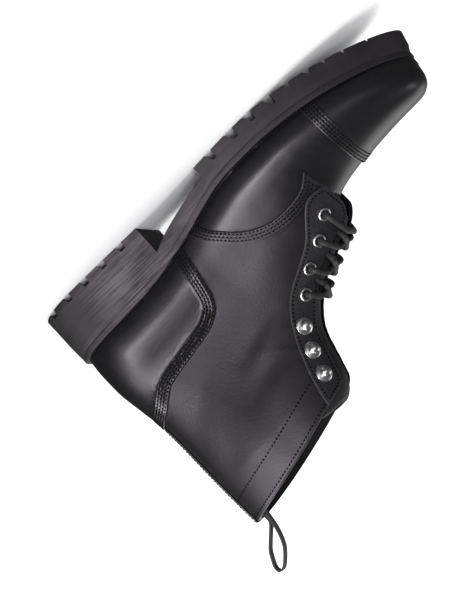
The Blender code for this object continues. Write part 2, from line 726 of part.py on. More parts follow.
def long_channel(side, stations, inset, ground):
    """A lengthwise channel cutter that follows the edge at a distance."""
    vertices, faces = [], []
    for x in stations:
        for across in (0, CHANNEL_WIDTH):
            y = sole_y(x, side) - side * (inset + across)
            vertices += [(x, y, ground(x) - 0.002), (x, y, ground(x) + CHANNEL_DEPTH)]
    for k in range(len(stations) - 1):
        a = 4 * k
        faces += [(a + p, a + q, a + q + 4, a + p + 4) for p, q in ((0, 1), (1, 3), (3, 2), (2, 0))]
    last = 4 * (len(stations) - 1)
    faces += [(0, 1, 3, 2), (last, last + 1, last + 3, last + 2)]
    return add_mesh("long_channel", vertices, faces)


def cross_grooves():
    """Straight cutters across the middle of the tread."""
    vertices, faces = [], []
    for number in range(7):
        x = CROSS_START + CROSS_PITCH * number
        centre = (x, centre_line(x) - CROSS_HALF_LENGTH + CUT_OVERSHOOT)
        groove(vertices, faces, centre, (0.0, 1.0), 2 * CROSS_HALF_LENGTH - CUT_OVERSHOOT, tread(x),
               CROSS_DEPTH, CROSS_HALF_WIDTH, CROSS_ROOT)
    return add_mesh("cross_grooves", vertices, faces)


def build_sole(finish):
    stations = sole_stations()
    layers = [outsole_layer(0.0), outsole_layer(0.5), outsole_layer(1.0, drop=RIM_BEVEL),
              outsole_layer(1.0, inset=RIM_BEVEL)]
    outsole = ladder_solid("outsole", stations, layers, finish)
    tread_x = [CHANNEL_START + CHANNEL_STEP * i for i in range(10)]
    for side in (LATERAL, MEDIAL):
        cut(outsole, long_channel(side, tread_x, LUG_LENGTH, tread))
    cut(outsole, cross_grooves())
    for side in (LATERAL, MEDIAL):
        cut(outsole, notch_cutters(side, LUG_NOTCHES, LUG_LENGTH, LUG_SLANT, tread))
    tidy(outsole)

    heel_x = [x for x in stations if x < BREAST_X] + [BREAST_X]
    top = HEEL_SPLIT - GAP

    def heel_layer(z, inset=0.0):
        return lambda x, side: (*sole_place(x, side, inset, 0.0), z)

    heel = ladder_solid("heel", heel_x, [heel_layer(0.0, 0.0006), heel_layer(0.0012), heel_layer(top)], finish)
    channel_x = [HEEL_CHANNEL_START + HEEL_CHANNEL_STEP * i for i in range(6)]
    for side in (LATERAL, MEDIAL):
        cut(heel, long_channel(side, channel_x, HEEL_CHANNEL_INSET, lambda x: -HEEL_CHANNEL_DROP))
    for side in (LATERAL, MEDIAL):
        cut(heel, notch_cutters(side, HEEL_NOTCHES, HEEL_LUG_LENGTH, HEEL_LUG_SLANT, lambda x: 0.0))
    tidy(heel)
    for item in (outsole, heel):
        item.data.materials.clear()
        item.data.materials.append(finish)


INSOLE_THICKNESS = 0.0028
INSOLE_MARGIN = 0.0012
INSOLE_INSET = PANEL_LEVEL + PANEL_THICKNESS + UPPER_WALL + INSOLE_MARGIN   # from the boot's outside


def build_insole(finish):
    """The footbed, inside the upper's lower edge."""
    start = BACK_X + INSOLE_INSET
    end = TOE_X - INSOLE_INSET - INSOLE_MARGIN
    stations = ladder_stations(start, end, 0.034)

    def layer(rise):
        def place(x, side):
            edge = side_width(x, sole_top(x) + GAP, side)
            room = max(edge - INSOLE_INSET, 0.0015)
            ends = min(1.0, math.sqrt(max(x - start, 0.0) / 0.010 + 0.02),
                       math.sqrt(max(end - x, 0.0) / 0.010 + 0.02))
            return x, centre_line(x) + side * room * ends, sole_top(x) + GAP + rise
        return place
    ladder_solid("insole", stations, [layer(0.0), layer(INSOLE_THICKNESS)], finish)


# ---------------------------------------------------------------- tongue
TONGUE_THICKNESS = 0.0030
TONGUE_CLEARANCE = 0.0005
TONGUE_COLUMN = 3           # the tongue's edge, in columns from the centre line
TONGUE_TOP = ((-0.0040, 0.0075), (-0.0105, 0.0118))


def build_tongue(finish):
    """A padded strip under the facings, from below the vamp to above the collar."""
    first = STATIONS.index(6)
    middle = COLUMNS
    span = slice(middle - TONGUE_COLUMN, middle + TONGUE_COLUMN + 1)
    layers = []
    for depth in (0.0, TONGUE_THICKNESS):
        grid = form(-UPPER_WALL - TONGUE_CLEARANCE - depth)[first:, span]
        rows = [row.copy() for row in grid]
        for dx, dz in TONGUE_TOP:
            row = grid[-1].copy()
            fall = np.abs(np.arange(-TONGUE_COLUMN, TONGUE_COLUMN + 1)) / TONGUE_COLUMN
            row[:, 0] += dx * (1 - 0.3 * fall)
            row[:, 2] += dz * (1 - 0.75 * fall ** 2)
            row[:, 1] *= 1 - 0.08 * abs(dx) / 0.0105
            rows.append(row)
        layers.append(np.array(rows))
    rows, columns = layers[0].shape[:2]
    vertices = [tuple(point) for layer in layers for row in layer for point in row]
    shift = rows * columns
    faces = []
    for i in range(rows - 1):
        for j in range(columns - 1):
            a, b = i * columns + j, i * columns + j + 1
            split_quad(faces, a, b, b + columns, a + columns)
            split_quad(faces, a + shift, b + shift, b + columns + shift, a + columns + shift)
    for i in range(rows - 1):
        for j in (0, columns - 1):
            a = i * columns + j
            faces.append((a, a + columns, a + columns + shift, a + shift))
    for j in range(columns - 1):
        for i in (0, rows - 1):
            a = i * columns + j
            faces.append((a, a + 1, a + 1 + shift, a + shift))
    add_mesh("tongue", vertices, faces, finish, smooth=True)


# ---------------------------------------------------------------- eyelets, hooks, laces
Fastener = namedtuple("Fastener", "x z")
EYELETS = [Fastener(0.1905, 0.0795), Fastener(0.1757, 0.0892), Fastener(0.1583, 0.0982),
           Fastener(0.1448, 0.1089)]
HOOKS = [Fastener(0.1299, 0.1235), Fastener(0.1234, 0.1390), Fastener(0.1187, 0.1553)]
COVER_TOP = COVER_LEVEL + COVER_THICKNESS
SEAT_CLEARANCE = 0.0010    # a flat washer's clearance over the curved leather
HOOK_CLEARANCE = 0.00085    # the same for the hooks' wider plates
EYELET_HEIGHT = 0.0009
LACE_RADIUS = 0.0020

# Turned outlines: (radius, height above the seat), from the outside round.
EYELET_OUTLINE = [(0.0046, 0.0), (0.0042, 0.0007), (0.0033, EYELET_HEIGHT), (0.0024, 0.0)]
HOOK_OUTLINE = [(0.0, 0.0), (0.0056, 0.0), (0.0054, 0.0008), (0.0020, 0.0011), (0.0018, 0.0024),
                (0.0036, 0.0034), (0.0033, 0.0050), (0.0016, 0.0060), (0.0, 0.0062)]


def find_on_form(x, z, side, offset):
    """Row, column, point and normal of the raised form where it passes a side-view place."""
    base, normals = FORMS[True]
    grid = base + normals * offset
    rows, columns = grid.shape[:2]
    middle = columns // 2
    span = range(middle, columns - 1) if side == LATERAL else range(0, middle)
    for i in range(THROAT_ROW - 1, rows - 1):
        for j in span:
            corners = [(i, j), (i, j + 1), (i + 1, j + 1), (i + 1, j)]
            for picks in ((0, 1, 2), (0, 2, 3)):
                cells = [corners[k] for k in picks]
                (ax, _, az), (bx, _, bz), (cx, _, cz) = (grid[cell] for cell in cells)
                area = (bx - ax) * (cz - az) - (cx - ax) * (bz - az)
                if abs(area) < 1e-12:
                    continue
                v = ((x - ax) * (cz - az) - (cx - ax) * (z - az)) / area
                w = ((bx - ax) * (z - az) - (x - ax) * (bz - az)) / area
                if v >= 0 and w >= 0 and v + w <= 1:
                    share = (1 - v - w, v, w)
                    row = sum(p * cell[0] for p, cell in zip(share, cells))
                    column = sum(p * cell[1] for p, cell in zip(share, cells))
                    point = sum(p * grid[cell] for p, cell in zip(share, cells))
                    normal = sum(p * normals[cell] for p, cell in zip(share, cells))
                    return row, column, point, normal / np.linalg.norm(normal)
    raise ValueError("no surface there")


def form_point(row, column, offset):
    """A point over the raised form between its grid's rows and columns."""
    base, normals = FORMS[True]
    i, j = min(int(row), base.shape[0] - 2), min(int(column), base.shape[1] - 2)
    u, v = row - i, column - j
    total = np.zeros(3)
    for di, dj, share in ((0, 0, (1 - u) * (1 - v)), (1, 0, u * (1 - v)), (0, 1, (1 - u) * v), (1, 1, u * v)):
        total += share * (base[i + di, j + dj] + normals[i + di, j + dj] * offset)
    return total


def frame_of(normal):
    """Two directions square to a normal and each other."""
    first = np.cross(normal, (0.0, 0.0, 1.0))
    first /= np.linalg.norm(first)
    return first, np.cross(normal, first)


def turned(name, centre, normal, outline, segments, finish, closed):
    """A turned solid along a normal; closed outlines form a ring."""
    first, second = frame_of(normal)
    vertices, faces = [], []
    count = len(outline)
    for k in range(segments):
        angle = 2 * math.pi * k / segments
        out = math.cos(angle) * first + math.sin(angle) * second
        vertices += [tuple(centre + out * radius + normal * height) for radius, height in outline]
    for k in range(segments):
        start, following = k * count, (k + 1) % segments * count
        for p in range(count if closed else count - 1):
            q = (p + 1) % count
            faces.append((start + p, start + q, following + q, following + p))
    return add_mesh(name, vertices, faces, finish, smooth=True)


def build_fasteners(finish):
    for side, name in ((LATERAL, "lateral"), (MEDIAL, "medial")):
        for kind, places, outline, segments, closed, clearance in (
                ("eyelet", EYELETS, EYELET_OUTLINE, 11, True, SEAT_CLEARANCE),
                ("hook", HOOKS, HOOK_OUTLINE, 8, False, HOOK_CLEARANCE)):
            for number, place in enumerate(places, 1):
                _, _, point, normal = find_on_form(place.x, place.z, side, COVER_TOP + clearance)
                turned(f"{kind}_{name}_{number}", point, normal, outline, segments, finish, closed)


def tube(name, points, radius, finish, sides=6):
    """A round-ended cord through points."""
    vertices, faces = [], []
    points = [np.array(point) for point in points]
    for i, point in enumerate(points):
        ahead = points[min(i + 1, len(points) - 1)] - points[max(i - 1, 0)]
        ahead /= np.linalg.norm(ahead)
        first, second = frame_of(ahead)
        for k in range(sides):
            angle = 2 * math.pi * k / sides
            vertices.append(tuple(point + radius * (math.cos(angle) * first + math.sin(angle) * second)))
    for i in range(len(points) - 1):
        for k in range(sides):
            a, b = i * sides + k, i * sides + (k + 1) % sides
            faces.append((a, b, b + sides, a + sides))
    faces += [tuple(range(sides)), tuple(range((len(points) - 1) * sides, len(points) * sides))]
    return add_mesh(name, vertices, faces, finish, smooth=True)


LACE_LIFT = COVER_TOP + LACE_RADIUS + 0.0011
EYELET_LIFT = COVER_TOP + SEAT_CLEARANCE + EYELET_HEIGHT + LACE_RADIUS + 0.0010
LACE_OVERLAP = 0.0011       # how much one strand rides over the other where they cross
LACE_RUN = 0.62             # how far toward the next eyelet a strand gets before it dives
LACE_EDGE = FACING_COLUMN - 0.2     # where it dives, in columns from the centre line


def strand(side, number):
    """One strand: from an eyelet, over its facing's edge, straight to the edge opposite."""
    here = EYELETS[number]
    if number + 1 < len(EYELETS):
        ahead = EYELETS[number + 1]
    else:
        last = EYELETS[number - 1]
        ahead = Fastener(2 * here.x - last.x, 2 * here.z - last.z)
    row, column, _, _ = find_on_form(here.x, here.z, side, COVER_TOP)
    goal_row, _, _, _ = find_on_form(here.x + (ahead.x - here.x) * LACE_RUN,
                                     here.z + (ahead.z - here.z) * LACE_RUN, -side, COVER_TOP)
    own_edge, far_edge = COLUMNS + side * LACE_EDGE, COLUMNS - side * LACE_EDGE
    leave_row = row + 0.25 * (goal_row - row)
    leave = form_point(leave_row, own_edge, LACE_LIFT)
    arrive = form_point(goal_row, far_edge, LACE_LIFT)
    middle = (leave + arrive) / 2
    if side == MEDIAL:
        middle = middle + np.array((LACE_OVERLAP * 0.4, 0.0, LACE_OVERLAP))
    halfway = form_point((row + leave_row) / 2, (column + own_edge) / 2, EYELET_LIFT)
    return [form_point(row, column, EYELET_LIFT), halfway, leave, middle, arrive]


def build_laces(finish):
    for number in range(len(EYELETS)):
        name = f"lace_crossing_{number + 1}"
        crossing = tube(name, strand(LATERAL, number), LACE_RADIUS, finish)
        combine(crossing, tube("other_strand", strand(MEDIAL, number), LACE_RADIUS, finish), "UNION")
        tidy(crossing)


# ---------------------------------------------------------------- pull loop
LOOP_HALF_WIDTH = 0.0050
LOOP_OUTSIDE = [(0.0202, 0.1850), (0.0200, 0.2000), (0.0098, 0.2105), (0.0035, 0.2195), (0.0012, 0.2262),
                (0.0022, 0.2303), (0.0062, 0.2300), (0.0114, 0.2255), (0.0168, 0.2190), (0.0204, 0.2100),
                (0.0228, 0.1990), (0.0236, 0.1850)]
LOOP_INSIDE = [(0.0210, 0.2014), (0.0112, 0.2113), (0.0050, 0.2201), (0.0029, 0.2264), (0.0032, 0.2286),
               (0.0058, 0.2283), (0.0104, 0.2244), (0.0155, 0.2181), (0.0189, 0.2095), (0.0207, 0.2035)]


def build_pull_loop(finish):
    """A webbing loop sewn inside the back of the collar."""
    loop = prism("pull_loop", LOOP_OUTSIDE, -LOOP_HALF_WIDTH, LOOP_HALF_WIDTH)
    cut(loop, prism("loop_hole", LOOP_INSIDE, -2 * LOOP_HALF_WIDTH, 2 * LOOP_HALF_WIDTH))
    loop.data.materials.clear()
    loop.data.materials.append(finish)


def main():
    clear_scene()
    finish = {
        "upper": material("vamp_leather", (0.030, 0.029, 0.031), 0.36),
        "cap": material("cap_leather", (0.032, 0.031, 0.033), 0.33),
        "quarter": material("quarter_leather", (0.045, 0.044, 0.047), 0.42),
        "eyestay": material("eyestay_leather", (0.018, 0.018, 0.019), 0.60),
        "counter": material("counter_leather", (0.032, 0.031, 0.033), 0.36),
        "rubber": material("sole_rubber", (0.060, 0.058, 0.060), 0.62),
        "insole": material("footbed_fabric", (0.040, 0.040, 0.042), 0.90),
        "tongue": material("tongue_leather", (0.020, 0.020, 0.021), 0.55),
        "metal": material("nickel", (0.72, 0.72, 0.73), 0.22, 1.0),
        "cord": material("lace_cord", (0.012, 0.012, 0.013), 0.80),
        "webbing": material("loop_webbing", (0.014, 0.014, 0.015), 0.85),
    }
    build_sole(finish["rubber"])
    build_insole(finish["insole"])
    build_upper(finish["upper"])
    build_tongue(finish["tongue"])
    build_overlays(finish)
    build_fasteners(finish["metal"])
    build_laces(finish["cord"])
    build_pull_loop(finish["webbing"])
    for item in bpy.data.objects:
        item.location.x = -ORIGIN_STATION


main()
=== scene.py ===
"""Dressed model of a black leather lace-up work boot, left foot.

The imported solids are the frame. Each sub-assembly of the boot is a class below: it holds its
own sizes, builds its meshes on the last's shape and gives them their finish.

Shapes are worked out in stations, as in the solids' source: X runs from the rearmost point of
the heel to the toe, +Y is the outer (lateral) side and +Z is up. A finished mesh is moved back
by ORIGIN_STATION, so that it stands in the frame.
"""
from __future__ import annotations

import logging
import math
from collections.abc import Callable, Iterator, Sequence
from contextlib import contextmanager
from dataclasses import dataclass, field
from enum import Enum

import bmesh
import bpy
import numpy as np
from bpy.types import Material, Mesh, NodeSocket, Object
from mathutils import Matrix, Vector

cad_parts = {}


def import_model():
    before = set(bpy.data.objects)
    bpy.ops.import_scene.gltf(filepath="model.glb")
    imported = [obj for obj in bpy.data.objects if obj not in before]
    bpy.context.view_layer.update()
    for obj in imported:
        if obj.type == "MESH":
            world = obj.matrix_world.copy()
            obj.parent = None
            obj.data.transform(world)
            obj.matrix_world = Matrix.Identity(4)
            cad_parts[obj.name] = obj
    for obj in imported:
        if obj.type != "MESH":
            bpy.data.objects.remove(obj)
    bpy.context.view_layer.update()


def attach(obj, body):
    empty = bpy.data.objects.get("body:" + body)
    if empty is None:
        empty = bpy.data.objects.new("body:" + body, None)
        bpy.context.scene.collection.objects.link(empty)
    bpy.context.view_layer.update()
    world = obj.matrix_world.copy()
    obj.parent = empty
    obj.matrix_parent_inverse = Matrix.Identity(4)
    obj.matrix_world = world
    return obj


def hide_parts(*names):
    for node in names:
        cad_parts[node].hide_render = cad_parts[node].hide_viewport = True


LOG = logging.getLogger("boot")
Array = np.ndarray
Line = Sequence[tuple[float, float]]

ORIGIN_STATION = 0.0450  # the station that lies at X = 0 of the frame
GAP = 0.0003  # clearance between neighbouring pieces
UPPER_WALL = 0.0020  # lining and leather together
PANEL_THICKNESS = 0.0011  # quarters, toe cap
COVER_THICKNESS = 0.0012  # eyestays, counter, backstay
PANEL_LEVEL = GAP  # inner face of the panels, over the upper's outer face
PANEL_TOP = PANEL_LEVEL + PANEL_THICKNESS
COVER_LEVEL = PANEL_TOP + 0.0006
COVER_TOP = COVER_LEVEL + COVER_THICKNESS
NOSE_SECTION = -1.0  # where the sections close at the toe
CLOSED_GIRTH = 1.999  # girths past this lie on the back line or the lower edge
TINY = 1e-12  # keeps a division by a length safe


class Side(Enum):
    """The two sides of the boot, as the sign of Y."""

    LATERAL = 1
    MEDIAL = -1

    @property
    def label(self) -> str:
        """The side's name in a piece's name."""
        return self.name.lower()


# ---- curves
class Curve:
    """A smooth function through (position, value) rows that never overshoots them."""

    def __init__(self, rows: Line) -> None:
        """Works out the slopes.

        Args:
            rows: positions in rising order, each with its value.
        """
        self.xs = np.array([row[0] for row in rows], float)
        self.ys = np.array([row[1] for row in rows], float)
        steps = np.diff(self.xs)
        slopes = np.diff(self.ys) / steps
        tangents = np.zeros_like(self.ys)
        tangents[0], tangents[-1] = slopes[0], slopes[-1]
        for i in range(1, len(self.xs) - 1):
            if slopes[i - 1] * slopes[i] > 0:
                before = 2 * steps[i] + steps[i - 1]
                after = steps[i] + 2 * steps[i - 1]
                tangents[i] = (before + after) / (before / slopes[i - 1] + after / slopes[i])
        self.tangents = tangents

    def __call__(self, x: Array | float) -> Array:
        """The curve's value at each position.

        Args:
            x: positions; one past an end takes that end's value.

        Returns:
            The values.
        """
        x = np.clip(np.asarray(x, float), self.xs[0], self.xs[-1])
        i = np.clip(np.searchsorted(self.xs, x, side="right") - 1, 0, len(self.xs) - 2)
        step = self.xs[i + 1] - self.xs[i]
        t = (x - self.xs[i]) / step
        start = self.ys[i] * (1 + 2 * t) * (1 - t) ** 2 + self.tangents[i] * step * t * (1 - t) ** 2
        end = self.ys[i + 1] * t * t * (3 - 2 * t) + self.tangents[i + 1] * step * t * t * (t - 1)
        return start + end


def smoothstep(low: float, high: float, x: Array) -> Array:
    """A soft step from 0 at low to 1 at high."""
    t = np.clip((x - low) / (high - low), 0.0, 1.0)
    return t * t * (3 - 2 * t)


def rounded(position: Array, power: Array | float) -> Array:
    """Half width left at a position that runs from 0 to 1 toward a round end."""
    return np.maximum(0.0, 1 - np.clip(position, 0.0, 1.0) ** power) ** (1 / power)


def soft_corner(first: Array, second: Array, radius: float) -> Array:
    """The larger of two distances, with the corner between them rounded.

    Args:
        first: signed distance to one edge, negative inside.
        second: signed distance to the other edge.
        radius: the corner's radius.

    Returns:
        The signed distance to both edges together.
    """
    inside = (first > -radius) & (second > -radius)
    arc = np.hypot(first + radius, second + radius) - radius
    return np.where(inside, arc, np.maximum(first, second))


def run_along(path: Array) -> Array:
    """Length of a path from its start to each of its points."""
    return np.concatenate([[0.0], np.cumsum(np.linalg.norm(np.diff(path, axis=0), axis=1))])


def smooth_path(points: Array, spacing: float) -> Array:
    """Resamples a Catmull-Rom curve through points at an even spacing.

    Args:
        points: (n, d) points in order.
        spacing: distance between the new points.

    Returns:
        (m, d) points along the curve, with both ends kept.
    """
    points = np.asarray(points, float)
    padded = np.vstack([2 * points[0] - points[1], points, 2 * points[-1] - points[-2]])
    shares = np.arange(24)[:, None] / 24  # finer than any spacing that is asked for
    fine = []
    for i in range(1, len(padded) - 2):
        a, b, c, d = padded[i - 1:i + 3]
        fine.append(0.5 * (2 * b + (c - a) * shares + (2 * a - 5 * b + 4 * c - d) * shares ** 2
                           + (3 * b - a - 3 * c + d) * shares ** 3))
    fine = np.vstack([*fine, points[-1]])
    run = run_along(fine)
    count = max(2, int(round(run[-1] / spacing)) + 1)
    stops = np.linspace(0, run[-1], count)
    return np.stack([np.interp(stops, run, column) for column in fine.T], axis=1)


class Outline:
    """A closed outline in the side view, with a signed distance."""

    def __init__(self, drawn: Line, closing: Line) -> None:
        """Joins the drawn edge and the points that close it.

        Args:
            drawn: (x, z) points of the edge that shows.
            closing: (x, z) points that close the outline, clear of the boot's edges.
        """
        self.edge = smooth_path(np.array(drawn), 0.002)
        self.points = np.vstack([self.edge, np.array(closing, float)])

    @staticmethod
    def _to_segments(places: Array, path: Array, closed: bool) -> Array:
        """Distance from each place to the nearest segment of a path.

        Args:
            places: (n, 2) places in the side view.
            path: (m, 2) corners of the path.
            closed: whether its last corner joins its first.

        Returns:
            The distances.
        """
        ends = np.roll(path, -1, axis=0) if closed else path[1:]
        best = np.full(len(places), np.inf)
        for a, b in zip(path, ends):
            along = b - a
            t = np.clip(((places - a) @ along) / max(along @ along, 1e-18), 0, 1)
            best = np.minimum(best, np.linalg.norm(places - a - t[:, None] * along, axis=1))
        return best

    def distance(self, x: Array, z: Array) -> Array:
        """Signed distance of places in the side view to the outline.

        Args:
            x: stations of the places.
            z: their heights.

        Returns:
            The distances, negative inside.
        """
        best = self._to_segments(np.stack([x, z], axis=1), self.points, True)
        inside = np.zeros(len(x), bool)
        for (ax, az), (bx, bz) in zip(self.points, np.roll(self.points, -1, axis=0)):
            crosses = (az > z) != (bz > z)
            if np.any(crosses):
                inside ^= crosses & (x < ax + (z - az) / (bz - az) * (bx - ax))
        return np.where(inside, -best, best)

    def from_edge(self, x: Array, z: Array) -> Array:
        """Distance of places in the side view to the drawn edge alone."""
        return self._to_segments(np.stack([x, z], axis=1), self.edge, False)


# ---- the last
@dataclass
class SoleShape:
    """The sole's plan and profile."""

    length: float = 0.308
    heel_radius: float = 0.0360
    heel_power: float = 2.25
    toe_start: float = 0.232
    toe_power: dict[int, float] = field(default_factory=lambda: {1: 2.05, -1: 2.45})
    tread_roll_x: float = 0.175
    tread_roll: float = 1.24
    heel_split: float = 0.0220
    breast_x: float = 0.0933
    lug_rear_x: float = 0.1503

    def __post_init__(self) -> None:
        """Makes the curves from their tables."""
        widths = [  # x, lateral half width, medial half width
            (0.000, 0.0362, 0.0358), (0.050, 0.0366, 0.0358), (0.088, 0.0358, 0.0340),
            (0.112, 0.0358, 0.0315), (0.135, 0.0398, 0.0335), (0.160, 0.0470, 0.0410),
            (0.185, 0.0520, 0.0490), (0.208, 0.0535, 0.0533), (0.232, 0.0525, 0.0530),
            (0.262, 0.0500, 0.0500), (0.308, 0.0470, 0.0480)]
        self.half_of = {1: Curve([(x, lateral) for x, lateral, _ in widths]),
                        -1: Curve([(x, medial) for x, _, medial in widths])}
        self.centre = Curve([(0.0, 0.0), (0.15, 0.0), (0.22, -0.0008), (0.27, -0.0028),
                             (0.308, -0.0055)])
        self.top = Curve([
            (0.000, 0.0392), (0.030, 0.0385), (0.057, 0.0374), (0.075, 0.0360), (0.092, 0.0332),
            (0.106, 0.0301), (0.119, 0.0270), (0.143, 0.0212), (0.154, 0.0194), (0.170, 0.0186),
            (0.190, 0.0188), (0.210, 0.0202), (0.233, 0.0230), (0.258, 0.0278), (0.280, 0.0330),
            (0.294, 0.0375), (0.308, 0.0430)])
        self.waist = Curve([(self.breast_x, 0.0215), (0.106, 0.0163), (0.125, 0.0116),
                            (0.1497, 0.0075)])

    def half(self, x: Array, side: Array) -> Array:
        """Half width before the ends are rounded, on the side of each sign."""
        return np.where(np.asarray(side) > 0, self.half_of[1](x), self.half_of[-1](x))

    def toe_round(self, x: Array, end: float, side: Array) -> Array:
        """Share of the half width that the round toe leaves, up to the station where it ends."""
        power = np.where(np.asarray(side) > 0, self.toe_power[1], self.toe_power[-1])
        return rounded((np.asarray(x) - self.toe_start) / (end - self.toe_start), power)

    def edge_y(self, x: Array, side: Array) -> Array:
        """Y of the sole's outline."""
        heel = rounded((self.heel_radius - np.asarray(x)) / self.heel_radius, self.heel_power)
        width = self.half(x, side) * heel * self.toe_round(x, self.length, side)
        return self.centre(x) + side * width

    def place(self, x: float, side: int, inset: float, toe_inset: float) -> tuple[float, float]:
        """A place of the outline after it shrinks.

        Args:
            x: its station before.
            side: the sign of Y.
            inset: how far the sides and the heel move in.
            toe_inset: how far the toe's end moves back.

        Returns:
            X and Y.
        """
        away = (self.edge_y(x, side) - self.centre(x)) * (1 - inset / self.half(x, side))
        moved = x + inset * max(0.0, 1 - x / self.heel_radius)
        moved -= toe_inset * max(0.0, (x - self.toe_start) / (self.length - self.toe_start))
        return float(moved), float(self.centre(x) + away)

    def tread(self, x: Array | float) -> Array:
        """Height of the tread's ground face."""
        return self.tread_roll * np.maximum(0.0, np.asarray(x, float) - self.tread_roll_x) ** 2

    def bottom(self, x: float) -> float:
        """Lowest face of the outsole: over the heel block, along the waist, then the tread.

        Args:
            x: the station.

        Returns:
            Its height.
        """
        if x <= self.breast_x:
            return self.heel_split
        return float(self.waist(x) if x < self.lug_rear_x else self.tread(x))


@dataclass(frozen=True)
class Fold:
    """A soft trough or ridge pressed into the leather, as a line in the side view."""

    start: tuple[float, float]
    end: tuple[float, float]
    width: float
    depth: float  # negative is a ridge
    end_share: float = 0.35  # share of the depth that is left at its ends

    def press(self, x: Array, z: Array) -> Array:
        """How far the leather gives way.

        Args:
            x: stations of places in the side view.
            z: their heights.

        Returns:
            The depth at each place.
        """
        (x0, z0), (x1, z1) = self.start, self.end
        along_x, along_z = x1 - x0, z1 - z0
        t = ((x - x0) * along_x + (z - z0) * along_z) / (along_x ** 2 + along_z ** 2)
        t = np.clip(t, 0, 1)
        away = np.hypot(x - x0 - t * along_x, z - z0 - t * along_z)
        share = self.end_share + (1 - self.end_share) * np.sin(math.pi * t)
        return self.depth * np.exp(-(away / self.width) ** 2) * share


FOLDS = [
    # over the ankle
    Fold((0.130, 0.098), (0.086, 0.113), 0.0065, 0.0008),
    Fold((0.128, 0.108), (0.080, 0.124), 0.0065, -0.0005),
    Fold((0.124, 0.121), (0.072, 0.137), 0.0080, 0.0007),
    # over the heel and up the shaft
    Fold((0.062, 0.098), (0.034, 0.122), 0.0080, 0.0006),
    Fold((0.050, 0.135), (0.028, 0.168), 0.0090, 0.0005),
    Fold((0.098, 0.150), (0.062, 0.170), 0.0100, 0.0005),
    # where the vamp bends
    Fold((0.216, 0.066), (0.206, 0.036), 0.0050, 0.0005),
    Fold((0.205, 0.060), (0.194, 0.034), 0.0055, 0.0005),
    Fold((0.170, 0.072), (0.146, 0.060), 0.0080, 0.0006)]


